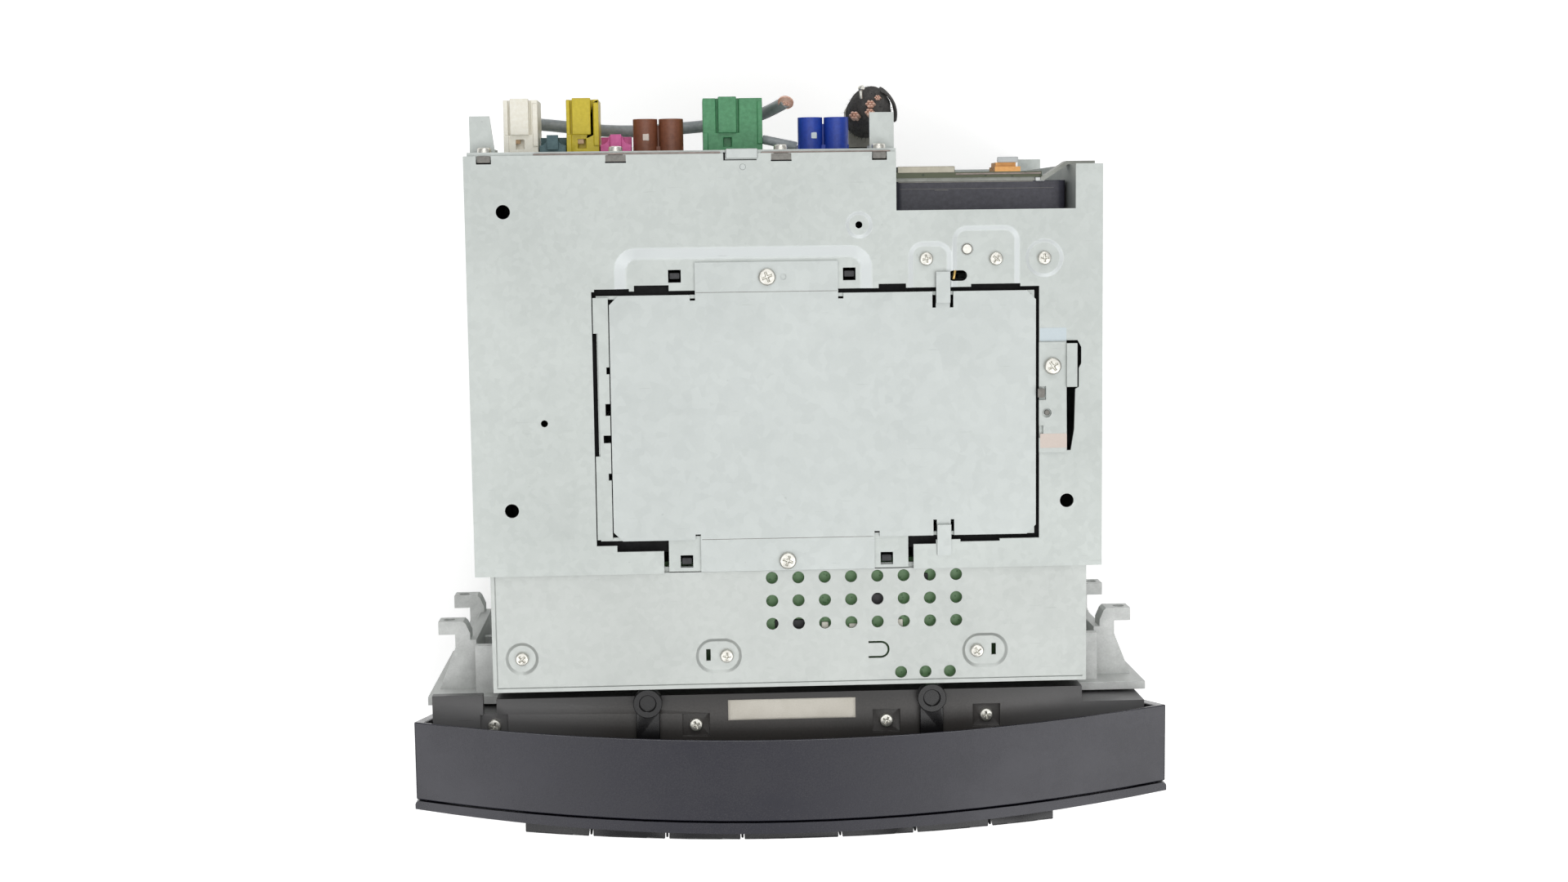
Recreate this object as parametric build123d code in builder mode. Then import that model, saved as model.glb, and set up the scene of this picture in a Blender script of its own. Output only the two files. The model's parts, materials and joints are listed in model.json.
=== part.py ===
"""Car navigation radio: a sheet-metal chassis, a disc drive, a curved fascia with keys, and rear sockets.

Millimetres. +Z is up, the front faces -Y and the sockets face +Y. The origin is the middle of the
chassis' flat bottom face.
"""

import math
import os

from build123d import *

os.makedirs("parts", exist_ok=True)


# Driving dimensions: chassis
chassis_width = 180.0
chassis_depth = 153.0
chassis_height = 100.0
sheet = 1.0
front_width = 171.6
front_depth = 34.0
front_drop = 1.4
cover_flange = 14.0
press_depth = 1.4
seat_gap = 0.3

rear_y = chassis_depth / 2
panel_y = rear_y + sheet
front_y = -chassis_depth / 2
cover_front_y = front_y + front_depth
side_x = chassis_width / 2
front_side_x = front_width / 2
top_z = chassis_height
shell_top_z = top_z - front_drop

# Driving dimensions: fan recess at the right of the rear
recess_left = 31.2
recess_depth = 16.5
column_setback = 3.9
fan_size = 50.0
fan_side_gap = 0.5
recess_right = recess_left + fan_size + 2 * fan_side_gap
recess_y = rear_y - recess_depth
column_y = rear_y - column_setback

# Driving dimensions: disc drive and its hatch
drive_left = -54.0
drive_right = 70.6
drive_rear = 37.0
drive_front = -33.0
drive_floor_drop = 19.9
hatch_gap = 1.2
hatch_left = -50.3
tongue_top_left = -26.0
tongue_top_right = 14.5
tongue_top_y = 46.1
tongue_low_left = -25.5
tongue_low_right = 24.3
tongue_low_y = -42.3
hook_width = 4.0
hook_x = 44.3
hook_reach = 5.6
hook_slit = 1.0
hook_slit_length = 4.6
plate_top_z = top_z - press_depth + sheet

# Driving dimensions: disc path
disc_z = 78.5
slot_width = 123.0
slot_height = 5.8
drive_x = 8.3
ribbon_half = 30.0
ribbon_low = 30.0
ribbon_high = 36.0

# Driving dimensions: screws
large_head_r = 2.45
small_head_r = 1.95
head_height = 1.5
shank_r = 1.3
shank_length = 4.5
screw_clearance = 0.25

# Driving dimensions: fascia, seen from above as arcs about the middle
fascia_half = 108.0
fascia_height = 104.0
fascia_wall = 2.4
rim_y = -90.9
rim_r = 754.0
low_rim_y = -111.3
groove_y = -114.9
groove_r = 634.0
bead_y = -118.6
bead_r = 588.0
bezel_border = 8.0
groove_gap = 0.5
panel_thickness = 2.5
key_front_y = -122.8
key_r = 750.0
key_travel = 0.8
key_clearance = 0.3
key_flange = 1.0
mat_y = -101.5
mat_thickness = 1.5
mat_low = 36.0
board_thickness = 1.6

# Driving dimensions: key rows, x limits of the keys of the top row and heights
top_key_edges = [-77.9, -58.9, -36.8, -14.8, 13.9, 36.0, 58.1, 76.7]
top_key_drop = 17.5
top_key_low = fascia_height - top_key_drop
top_key_height = 9.2
side_key_inset = 27.0
side_key_x = fascia_half - side_key_inset
side_key_width = 26.0
side_key_height = 11.0
side_key_levels = [46.0, 62.0]

# Driving dimensions: knobs and display
knob_x = side_key_x
knob_z = 23.0
knob_r = 12.0
knob_back_y = -112.0
knob_front_y = -119.5
shaft_r = 3.0
shaft_hole_clearance = 0.6
shaft_clearance = 0.05
display_margin = 10.0
display_half = side_key_x - side_key_width / 2 - display_margin
display_low = 11.0
display_high = 70.0

# Driving dimensions: carrier behind the fascia
carrier_drop = 10.0
carrier_side_gap = 4.0
carrier_top = fascia_height - carrier_drop
carrier_low = 6.8
carrier_half = fascia_half - carrier_side_gap
carrier_wall = 2.0
skirt_wall = 1.6
skirt_drop = 4.0
carrier_back_y = -79.4
carrier_step_y = -84.0
carrier_front_y = -98.0
carrier_back_half = 85.5
wing_width = 14.6
wing_back_y = -78.1
wing_thick = 3.0
mount_pad_x = 70.0
mount_pad_levels = [20.0, 70.0]
mount_pad_half = 4.0

# Driving dimensions: cast mounting brackets
lug_outer_x = 104.2
lug_inner_x = 96.0
lug_rear_y = -60.4
lug_thick_y = 3.9
lug_height = 7.0
lug_low_z = 23.5
lug_high_z = 66.2
lug_hole_x = 101.2
lug_hole_r = 1.7
stem_outer_x = 99.3
foot_y = -80.7
foot_thick = 2.4
foot_outer_x = 106.5

# Driving dimensions: fan
fan_depth = 8.2
fan_top = 88.0
fan_wall = 2.0
fan_duct_r = fan_size / 2 - fan_wall
fan_hub_r = fan_duct_r / 2 - 0.5
fan_tip_gap = 1.2
fan_blade_tip_r = fan_duct_r - fan_tip_gap
fan_blades = 7
fan_x = (recess_left + recess_right) / 2
fan_z = fan_top - fan_size / 2

# Driving dimensions: rear sockets
socket_top = 88.0
coupler_height = 15.0
coupler_out = 15.0
jack_out = 9.4
low_out = 4.6
ear_z = 93.0

# Driving dimensions: gears of the loading train
gear_module = 0.8
gear_width = 3.0
roller_teeth = 18
idler_teeth = 26
pinion_teeth = 10
roller_r = 4.0
roller_length = 96.0
roller_shaft_r = 1.5
pinion_shaft_r = 1.0


def save(piece, label):
    """Label a finished piece and write it to its STEP file."""
    piece.part.label = label
    export_step(piece.part, f"parts/{label}.step")


def arc_y(x, middle_y, radius):
    """Height of a bowed line at x: most forward in the middle, falling back to both ends."""
    return middle_y + radius - math.sqrt(radius * radius - x * x)


def bowed_face(x0, x1, front, back):
    """Plan of a band between two bowed lines, each given as (middle y, radius)."""
    middle = (x0 + x1) / 2
    with BuildSketch() as band:
        with BuildLine():
            ThreePointArc(*[(x, arc_y(x, *front)) for x in (x0, middle, x1)])
            Line((x1, arc_y(x1, *front)), (x1, arc_y(x1, *back)))
            ThreePointArc(*[(x, arc_y(x, *back)) for x in (x1, middle, x0)])
            Line((x0, arc_y(x0, *back)), (x0, arc_y(x0, *front)))
        make_face()
    return band.sketch


def block(x0, x1, y0, y1, z0, z1, mode=Mode.ADD):
    """Rectangular block between six limits."""
    with BuildSketch(Plane.XY.offset(z0)) as outline:
        with Locations(((x0 + x1) / 2, (y0 + y1) / 2)):
            Rectangle(x1 - x0, y1 - y0)
    extrude(outline.sketch, amount=z1 - z0, mode=mode)


def disc_slot(y0, y1, margin):
    """Slot for the disc, cut through a wall between two y limits, larger by a margin all round."""
    half = slot_width / 2 + margin
    block(drive_x - half, drive_x + half, y0, y1, disc_z - slot_height / 2 - margin,
          disc_z + slot_height / 2 + margin, mode=Mode.SUBTRACT)


def hole_down(points, radius, z, depth):
    """Round holes cut downwards from height z."""
    with BuildSketch(Plane.XY.offset(z)) as circles:
        with Locations(*points):
            Circle(radius)
    extrude(circles.sketch, amount=-depth, mode=Mode.SUBTRACT)


def outline_at(z, centre, width, length, corner):
    """Rounded rectangle at height z, or a circle where the corners meet."""
    with BuildSketch(Plane.XY.offset(z)) as outline:
        with Locations(centre):
            if width - 2 * corner < 0.01 and length - 2 * corner < 0.01:
                Circle(corner)
            else:
                RectangleRounded(width, length, corner)
    return outline.sketch


def press(z, centre, width, length, corner, depth, slope):
    """Press a pocket down into sheet whose top is at height z, with walls that slope inwards."""
    under = outline_at(z - sheet, centre, width, length, corner)
    extrude(under, amount=-depth)
    mouth = outline_at(z, centre, width, length, corner)
    floor = outline_at(z - depth, centre, width - 2 * slope, length - 2 * slope, corner - slope)
    loft(sections=[mouth, floor], mode=Mode.SUBTRACT)


def front_plane(y):
    """Plane that faces the front: its x is +X, its y is +Z and its normal is -Y."""
    return Plane(origin=(0, y, 0), x_dir=(1, 0, 0), z_dir=(0, -1, 0))


def rear_plane(y):
    """Plane that faces the rear: its x is -X, its y is +Z and its normal is +Y."""
    return Plane(origin=(0, y, 0), x_dir=(-1, 0, 0), z_dir=(0, 1, 0))


# Chassis tray: bottom, both sides and the short returns to the narrower front
tray_side_x = side_x - sheet
side_vent_pitch = 9.0
side_vent_inset = 40.0
side_vent_z = 40.0
side_vent_length = 6.0
side_vent_width = 2.4
with BuildPart() as chassis_tray:
    block(-tray_side_x, tray_side_x, cover_front_y, rear_y, 0, sheet)
    block(-front_side_x, front_side_x, front_y, cover_front_y, 0, sheet)
    for side in (-1, 1):
        wall_x = sorted((side * tray_side_x, side * (tray_side_x - sheet)))
        wall_rear = rear_y if side < 0 else column_y - sheet
        block(*wall_x, cover_front_y, wall_rear, sheet, top_z - sheet)
        return_x = sorted((side * front_side_x, side * tray_side_x))
        block(*return_x, cover_front_y, cover_front_y + sheet, sheet, top_z - sheet)
    with BuildSketch(Plane.YZ.offset(-side_x)):
        with Locations((rear_y - side_vent_inset, side_vent_z)):
            with GridLocations(side_vent_pitch, side_vent_pitch, 6, 3):
                SlotOverall(side_vent_length, side_vent_width)
    extrude(amount=chassis_width, mode=Mode.SUBTRACT)
save(chassis_tray, "chassis_tray")

# Screw positions, used by the screws and by the holes under them
cover_screws = [(39.6, 46.3), (59.5, 46.1), (73.3, 46.1)]
tongue_screws = [(-5.6, 41.8), (-0.7, -39.4)]
bracket_screw = (75.4, 15.4)
shell_screws = [(-77.4, -66.8), (-18.6, -67.2), (54.0, -67.2)]
rear_screw_x = [-84.3, -47.6, -1.2, 26.5]
rear_screw_z = top_z - 2.9
carrier_screws = [(-86.3, -87.4), (-27.8, -88.4), (27.9, -88.4), (57.3, -87.4)]

# Upper cover: top with pressed pockets and the hatch opening, and side flanges
hatch_open_left = drive_left - hatch_gap
hatch_open_right = drive_right + hatch_gap
hatch_open_rear = drive_rear + hatch_gap
hatch_open_front = drive_front - hatch_gap
shallow = 0.7
tongue_pocket_width = 73.2
tongue_pocket_rear = 50.6
tongue_pocket_x = -12.2
tongue_pocket_corner = 6.4
hook_pocket_corner = 4.4
tongue_pocket_slope = 3.8
hook_pockets = [(40.7, 12.8, 51.4), (56.6, 19.6, 55.7)]
hook_pocket_slope = 1.8
ring_slope = 1.3
flange_left = -34.7
flange_right = 34.1
flange_slit = 1.4
rear_tab_half = 3.6
rear_tab_height = 6.0
square_hole = 1.8
cover_holes = [(-79.3, 60.9), (-79.0, -23.6), (79.8, -23.5)]
cover_hole_r = 2.0
ring_place = (20.6, 56.1)
ring_r = 4.0
pin_hole_r = 1.0
pin_holes = [(-69.2, 1.2), ring_place]
screw_ring_r = 5.6
rear_notches = [(-43.2, -33.4, 1.6), (-54.4, -44.6, 0.7), (26.0, 33.8, 1.2), (52.4, 66.4, 0.8)]
front_notches = [(-49.4, flange_left, 1.8), (flange_right, 42.0, 1.2), (49.0, 60.4, 0.7)]
square_places = [(-31.7, 42.3), (17.8, 42.3)]
screw_notch_half = 2.1
screw_notch_depth = 2.3
spring_slot = (48.6, 41.4)
spring_slot_length = 5.4
spring_slot_width = 3.0
bracket_opening = [(79.6, 22.6), (82.8, 22.6), (83.9, 20.6), (83.9, 16.0), (83.2, 14.6), (83.2, 9.2),
                   (82.2, 8.6), (81.9, -3.0), (80.9, -9.0), (79.8, -9.0)]
with BuildPart() as upper_cover:
    block(-side_x, side_x, cover_front_y, rear_y, top_z - sheet, top_z)
    pocket_length = 2 * (tongue_pocket_rear - hatch_open_rear)
    press(top_z, (tongue_pocket_x, hatch_open_rear), tongue_pocket_width, pocket_length,
          tongue_pocket_corner, press_depth, tongue_pocket_slope)
    for x, width, rear in hook_pockets:
        press(top_z, (x, hatch_open_rear), width, 2 * (rear - hatch_open_rear), hook_pocket_corner,
              shallow, hook_pocket_slope)
    for place, radius in ((cover_screws[2], screw_ring_r), (ring_place, ring_r)):
        press(top_z, place, 2 * radius, 2 * radius, radius, shallow, ring_slope)
    low_z = top_z - sheet - press_depth
    block(hatch_open_left, hatch_open_right, hatch_open_front, hatch_open_rear, low_z, top_z,
          mode=Mode.SUBTRACT)
    block(flange_left - flange_slit, flange_right + flange_slit, cover_front_y, hatch_open_front,
          low_z, top_z, mode=Mode.SUBTRACT)
    for x0, x1, reach in rear_notches:
        block(x0, x1, hatch_open_rear, hatch_open_rear + reach, low_z, top_z, mode=Mode.SUBTRACT)
    for x0, x1, reach in front_notches:
        block(x0, x1, hatch_open_front - reach, hatch_open_front, low_z, top_z, mode=Mode.SUBTRACT)
    block(recess_left, recess_right, recess_y, rear_y, low_z, top_z, mode=Mode.SUBTRACT)
    block(recess_right, side_x, column_y, rear_y, low_z, top_z, mode=Mode.SUBTRACT)
    for side in (-1, 1):
        flange_x = sorted((side * side_x, side * tray_side_x))
        flange_rear = rear_y if side < 0 else column_y
        block(*flange_x, cover_front_y, flange_rear, top_z - cover_flange, top_z - sheet)
    hole_down(cover_holes, cover_hole_r, top_z, sheet)
    hole_down(pin_holes, pin_hole_r, top_z, sheet + shallow)
    hole_down(cover_screws, shank_r + screw_clearance, top_z, sheet + shallow)
    hole_down(tongue_screws[:1], shank_r + screw_clearance, top_z, sheet + press_depth)
    hole_down([bracket_screw], shank_r + screw_clearance, top_z, sheet)
    for x in rear_screw_x:
        block(x - rear_tab_half, x + rear_tab_half, rear_y - sheet, rear_y, top_z - rear_tab_height,
              top_z - sheet)
        block(x - screw_notch_half, x + screw_notch_half, rear_y - screw_notch_depth, rear_y, top_z - sheet,
              top_z, mode=Mode.SUBTRACT)
    with BuildSketch(rear_plane(rear_y - sheet)):
        with Locations(*[(-x, rear_screw_z) for x in rear_screw_x]):
            Circle(shank_r + screw_clearance)
    extrude(amount=sheet, mode=Mode.SUBTRACT)
    for x, y in square_places:
        block(x - square_hole, x + square_hole, y - square_hole, y + square_hole, low_z, top_z,
              mode=Mode.SUBTRACT)
    with BuildSketch(Plane.XY.offset(low_z)):
        with BuildLine():
            Polyline(*bracket_opening, close=True)
        make_face()
        with Locations(spring_slot):
            SlotOverall(spring_slot_length, spring_slot_width)
    extrude(amount=top_z - low_z, mode=Mode.SUBTRACT)
save(upper_cover, "upper_cover")

# Front shell: top, sides and front wall of the narrower front, with vents, pressed bosses and a punched tab
vent_r = 1.75
vent_x = -5.3
vent_y = -44.6
vent_step_x = 7.6
vent_step_y = 6.7
boss_depth = 0.8
boss_slope = 1.2
shell_under = 1.5
seam_inset = 1.1
seam_width = 0.35
seam_depth = 0.5
step_inset = 8.0
small_boss = 9.8
wide_boss = (13.6, 10.4)
wide_boss_places = [(-20.9, -67.1), (56.3, -67.1)]
boss_slots = [(-23.9, -66.9), (58.9, -66.9)]
boss_slot = (1.3, 3.4)
low_vent_y = -73.0
low_vent_x = 31.8
low_vent_step = 7.1
tab_left = 22.4
tab_right = 26.0
tab_middle_y = -66.2
tab_half = 2.5
tab_cut = 0.6
with BuildPart() as front_shell:
    shell_z = shell_top_z - sheet
    shell_rear = cover_front_y + shell_under
    block(-front_side_x, front_side_x, front_y, cover_front_y, shell_z, shell_top_z)
    step_left = -front_side_x + step_inset
    block(step_left, front_side_x, cover_front_y, shell_rear, shell_z - press_depth,
          shell_top_z - press_depth)
    block(step_left, front_side_x, cover_front_y - sheet, cover_front_y, shell_z - press_depth, shell_z)
    for side in (-1, 1):
        wall_x = sorted((side * front_side_x, side * (front_side_x - sheet)))
        block(*wall_x, front_y, cover_front_y, sheet, shell_z)
    block(-front_side_x + sheet, front_side_x - sheet, front_y, front_y + sheet, sheet, shell_z)
    disc_slot(front_y, front_y + sheet, 1.0)
    block(-ribbon_half, ribbon_half, front_y, front_y + sheet, ribbon_low, ribbon_high, mode=Mode.SUBTRACT)
    press(shell_top_z, shell_screws[0], small_boss, small_boss, small_boss / 2, boss_depth, boss_slope)
    for place in wide_boss_places:
        press(shell_top_z, place, *wide_boss, wide_boss[1] / 2 - 0.1, boss_depth, boss_slope)
    vents = [(vent_x + i * vent_step_x, vent_y - j * vent_step_y) for i in range(8) for j in range(3)]
    vents += [(low_vent_x + i * low_vent_step, low_vent_y) for i in range(3)]
    hole_down(vents, vent_r, shell_top_z, sheet + press_depth)
    seam_z = shell_top_z - seam_depth
    seam_x = front_side_x - seam_inset
    seam_y = front_y + seam_inset
    block(-seam_x, -seam_x + seam_width, seam_y, cover_front_y, seam_z, shell_top_z, mode=Mode.SUBTRACT)
    block(-seam_x, seam_x, seam_y, seam_y + seam_width, seam_z, shell_top_z, mode=Mode.SUBTRACT)
    hole_down(shell_screws, shank_r + screw_clearance, shell_top_z, sheet + boss_depth)
    with BuildSketch(Plane.XY.offset(shell_top_z)):
        with Locations(*boss_slots):
            Rectangle(*boss_slot)
    extrude(amount=-(sheet + boss_depth), mode=Mode.SUBTRACT)
    with BuildSketch(Plane.XY.offset(shell_top_z)):
        with BuildLine():
            tab = {}
            for name, half in (("out", tab_half), ("in", tab_half - tab_cut)):
                upper = (tab_right, tab_middle_y + half)
                lower = (tab_right, tab_middle_y - half)
                Line((tab_left, upper[1]), upper)
                ThreePointArc(upper, (tab_right + half, tab_middle_y), lower)
                Line(lower, (tab_left, lower[1]))
                tab[name] = (upper[1], lower[1])
            for outer, inner in zip(tab["out"], tab["in"]):
                Line((tab_left, outer), (tab_left, inner))
        make_face()
    extrude(amount=-sheet, mode=Mode.SUBTRACT)
save(front_shell, "front_shell")

# Rear panel: one folded sheet that closes the rear and steps forward round the fan recess
main_left = -34.5
main_right = 29.5
main_low = 12.0
main_high = 52.0
cut_clearance = 0.1
ear_out = 10.3
left_ear = (-88.6, -81.6)
ear_taper = 1.3
right_ear = (recess_left - 6.9, recess_left)
ear_outlines = [[(left, 0), (right, 0), (right - taper, ear_out), (left, ear_out)]
                for left, right, taper in ((*left_ear, ear_taper), (*right_ear, 0))]
ear_stem = 8.0
with BuildPart() as rear_panel:
    rear_z = (sheet, top_z - sheet)
    block(-tray_side_x, recess_left, rear_y, panel_y, *rear_z)
    block(recess_left - sheet, recess_left, recess_y, rear_y, *rear_z)
    block(recess_left - sheet, recess_right + sheet, recess_y - sheet, recess_y, *rear_z)
    block(recess_right, recess_right + sheet, recess_y, column_y - sheet, *rear_z)
    block(recess_right, tray_side_x - sheet, column_y - sheet, column_y, *rear_z)
    for outline in ear_outlines:
        with BuildSketch(Plane.XY.offset(ear_z)):
            with BuildLine():
                Polyline(*[(x, panel_y + y) for x, y in outline], close=True)
            make_face()
        extrude(amount=sheet)
        block(outline[0][0], outline[1][0], panel_y, panel_y + sheet, ear_z - ear_stem, ear_z)
    block(main_left - cut_clearance, main_right + cut_clearance, rear_y, panel_y, main_low - cut_clearance,
          main_high + cut_clearance, mode=Mode.SUBTRACT)
    with BuildSketch(rear_plane(recess_y - sheet)):
        with Locations((-fan_x, fan_z)):
            Circle(fan_duct_r)
    extrude(amount=sheet, mode=Mode.SUBTRACT)
    with BuildSketch(rear_plane(rear_y)):
        with Locations(*[(-x, rear_screw_z) for x in rear_screw_x]):
            Circle(shank_r + screw_clearance)
    extrude(amount=sheet, mode=Mode.SUBTRACT)
save(rear_panel, "rear_panel")

frame_top = top_z - press_depth
drive_z = disc_z - drive_floor_drop

# Drive cover: plate with chamfered corners, two screwed tongues and two hooks over the hatch edge
plate_low_z = plate_top_z - sheet
plate_right = drive_right + 0.3
plate_corner = 2.6
relief_width = 1.5
relief_length = 3.2
hook_root = 3.2
hook_thick = 0.8
rivet_place = (-1.0, 41.8)
rivet_r = 0.9
rivet_depth = 0.4
with BuildPart() as drive_cover:
    with BuildSketch(Plane.XY.offset(plate_low_z)):
        with Locations(((hatch_left + plate_right) / 2, (drive_front + drive_rear) / 2)):
            Rectangle(plate_right - hatch_left, drive_rear - drive_front)
        chamfer(vertices(), length=plate_corner)
        for left, right, y0, y1 in ((tongue_top_left, tongue_top_right, drive_rear - 1, tongue_top_y),
                                    (tongue_low_left, tongue_low_right, tongue_low_y, drive_front + 1)):
            with Locations(((left + right) / 2, (y0 + y1) / 2)):
                Rectangle(right - left, y1 - y0)
        half = relief_width / 2
        for x, y in ((tongue_top_left - half, drive_rear), (tongue_top_right + half, drive_rear),
                     (tongue_low_left - half, drive_front), (tongue_low_right + half, drive_front)):
            with Locations((x, y)):
                Rectangle(relief_width, relief_length, mode=Mode.SUBTRACT)
        for side in (-1, 1):
            slit_x = hook_x + side * (hook_width + hook_slit) / 2
            with Locations((slit_x, drive_rear), (slit_x, drive_front)):
                Rectangle(hook_slit, 2 * hook_slit_length, mode=Mode.SUBTRACT)
    extrude(amount=sheet)
    for y in (drive_rear, drive_front):
        away = 1 if y > 0 else -1
        root = sorted((y - away * hook_root, y - away * hatch_gap / 4))
        reach = sorted((y - away * hook_root, y + away * hook_reach))
        block(hook_x - hook_width / 2, hook_x + hook_width / 2, *root, plate_top_z, top_z)
        block(hook_x - hook_width / 2, hook_x + hook_width / 2, *reach, top_z, top_z + hook_thick)
    hole_down(tongue_screws, shank_r + screw_clearance, plate_top_z, sheet)
    hole_down([rivet_place], rivet_r, plate_top_z, rivet_depth)
save(drive_cover, "drive_cover")

# Drive side strip: narrow plate along the left of the drive cover
strip_gap = 0.3
strip_right = hatch_left - strip_gap
strip_left = drive_left - 0.9
strip_middle_y = 2.0
strip_length = 69.0
strip_waist = (1.3, 9.0, 35.0)
strip_notches = [(4.8, 1.3, 3.4), (-3.6, 2.0, 2.2), (15.9, 0.8, 2.0), (-14.4, 0.8, 2.0)]
with BuildPart() as drive_strip:
    with BuildSketch(Plane.XY.offset(plate_low_z)):
        with Locations(((strip_left + strip_right) / 2, strip_middle_y)):
            Rectangle(strip_right - strip_left, strip_length)
        with Locations((strip_left, strip_waist[1])):
            Rectangle(2 * strip_waist[0], strip_waist[2], mode=Mode.SUBTRACT)
        for y, depth, length in strip_notches:
            with Locations((strip_right, y)):
                Rectangle(2 * depth, length, mode=Mode.SUBTRACT)
    extrude(amount=sheet)
save(drive_strip, "drive_strip")

# Drive bracket: folded plate screwed over the right edge of the hatch
bracket_x = (71.6, 79.4)
bracket_y = (-9.4, 22.2)
bracket_fold_x = 82.4
bracket_fold_y = (9.4, 21.8)
bracket_notches = [(7.65, 2.0, 3.9), (-3.4, 1.2, 3.6)]
bracket_hole = (73.8, 2.0)
bracket_hole_r = 1.36
with BuildPart() as drive_bracket:
    block(*bracket_x, *bracket_y, top_z, top_z + sheet)
    block(bracket_x[1], bracket_fold_x, *bracket_fold_y, top_z, top_z + 2 * sheet)
    with BuildSketch(Plane.XY.offset(top_z)):
        for y, depth, length in bracket_notches:
            with Locations((bracket_x[0], y)):
                Rectangle(2 * depth, length)
    extrude(amount=sheet, mode=Mode.SUBTRACT)
    hole_down([bracket_screw], shank_r + screw_clearance, top_z + sheet, sheet)
    hole_down([bracket_hole], bracket_hole_r, top_z + sheet, sheet)
save(drive_bracket, "drive_bracket")

head_edge_r = 0.6
cross_width = 0.55
cross_share = 1.1
cross_depth = 0.8
cross_turn = 20


def screw_heads(points, radius, z):
    """Pan-head screws that stand upright with their heads on height z, with a cross recess."""
    with BuildPart(mode=Mode.PRIVATE) as screw:
        Cylinder(radius, head_height, align=(Align.CENTER, Align.CENTER, Align.MIN))
        fillet(screw.edges().filter_by(GeomType.CIRCLE).group_by(Axis.Z)[-1], radius=head_edge_r)
        Cylinder(shank_r, shank_length, align=(Align.CENTER, Align.CENTER, Align.MAX))
        with BuildSketch(Plane.XY.offset(head_height)) as cross:
            Rectangle(radius * cross_share, cross_width, rotation=cross_turn)
            Rectangle(cross_width, radius * cross_share, rotation=cross_turn)
        extrude(cross.sketch, amount=-cross_depth, mode=Mode.SUBTRACT)
    for x, y in points:
        add(screw.part.moved(Location((x, y, z))))


with BuildPart() as large_screws:
    screw_heads(tongue_screws, large_head_r, plate_top_z)
    screw_heads([bracket_screw], large_head_r, top_z + sheet)
save(large_screws, "large_screws")


def bowed_block(x0, x1, front, back, z0, z1, mode=Mode.ADD):
    """Block whose front and back follow two bowed lines, between two heights."""
    plan = bowed_face(x0, x1, front, back)
    extrude(plan.moved(Location((0, 0, z0))), amount=z1 - z0, mode=mode)


# Fascia frame: bowed tube from the groove to a rear rim that slants forward towards the bottom
fascia_inner = fascia_half - fascia_wall
frame_seat = 2.0
with BuildPart() as fascia_frame:
    low_outline = bowed_face(-fascia_half, fascia_half, (groove_y, groove_r), (low_rim_y, groove_r))
    high_outline = bowed_face(-fascia_half, fascia_half, (groove_y, groove_r), (rim_y, rim_r))
    loft(sections=[low_outline, high_outline.moved(Location((0, 0, fascia_height)))], ruled=True)
    bowed_block(-fascia_inner, fascia_inner, (groove_y - frame_seat, groove_r), (rim_y + frame_seat, rim_r),
                fascia_wall, fascia_height - fascia_wall, mode=Mode.SUBTRACT)
save(fascia_frame, "fascia_frame")

# Front bezel: bowed ring in front of the groove
bezel_half = fascia_half + 0.4
bezel_back = (groove_y - groove_gap, groove_r)
with BuildPart() as front_bezel:
    bowed_block(-bezel_half, bezel_half, (bead_y, bead_r), bezel_back, 0, fascia_height)
    fillet(edges().filter_by(Axis.Z).group_by(Axis.Y)[1:], radius=1.0)
    bowed_block(-bezel_half + bezel_border, bezel_half - bezel_border, (bead_y - 3, bead_r),
                (bezel_back[0] + 3, bezel_back[1]), bezel_border, fascia_height - bezel_border,
                mode=Mode.SUBTRACT)
save(front_bezel, "front_bezel")

# Front panel: bowed plate inside the frame, with openings for keys, disc, display and knobs
panel_front = (groove_y + seat_gap, groove_r)
panel_back = (panel_front[0] + panel_thickness, groove_r)
panel_half = fascia_inner - seat_gap
panel_low = fascia_wall + seat_gap
panel_high = fascia_height - fascia_wall - seat_gap
cut_front = -130.0
cut_back = -95.0
side_keys = [(side, z) for side in (-1, 1) for z in side_key_levels]
with BuildPart() as front_panel:
    bowed_block(-panel_half, panel_half, panel_front, panel_back, panel_low, panel_high)
    block(top_key_edges[0] - key_clearance, top_key_edges[-1] + key_clearance, cut_front, cut_back,
          top_key_low - key_clearance, top_key_low + top_key_height + key_clearance, mode=Mode.SUBTRACT)
    disc_slot(cut_front, cut_back, 0)
    block(-display_half, display_half, cut_front, cut_back, display_low, display_high, mode=Mode.SUBTRACT)
    for side, z in side_keys:
        x = side * side_key_x
        half = side_key_width / 2 + key_clearance
        block(x - half, x + half, cut_front, cut_back, z - side_key_height / 2 - key_clearance,
              z + side_key_height / 2 + key_clearance, mode=Mode.SUBTRACT)
    with BuildSketch(front_plane(cut_front)):
        with Locations((-knob_x, knob_z), (knob_x, knob_z)):
            Circle(shaft_r + shaft_hole_clearance)
    extrude(amount=cut_front - cut_back, mode=Mode.SUBTRACT)
save(front_panel, "front_panel")

# Display lens in the panel's window, and the display module behind it
lens_clearance = 0.15
with BuildPart() as display_lens:
    bowed_block(-display_half + lens_clearance, display_half - lens_clearance,
                (panel_front[0] + 0.4, groove_r), (panel_back[0] - 0.4, groove_r),
                display_low + lens_clearance, display_high - lens_clearance)
save(display_lens, "display_lens")

board_front_y = mat_y + mat_thickness
board_back_y = board_front_y + board_thickness
module_half = display_half + 2
module_front_y = arc_y(module_half, *panel_back) + seat_gap
with BuildPart() as display_module:
    block(-module_half, module_half, module_front_y, board_back_y, display_low - 2, display_high + 2)
    block(-display_half + 1, display_half - 1, module_front_y, module_front_y + 0.8, display_low + 1,
          display_high - 1, mode=Mode.SUBTRACT)
save(display_module, "display_module")

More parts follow.
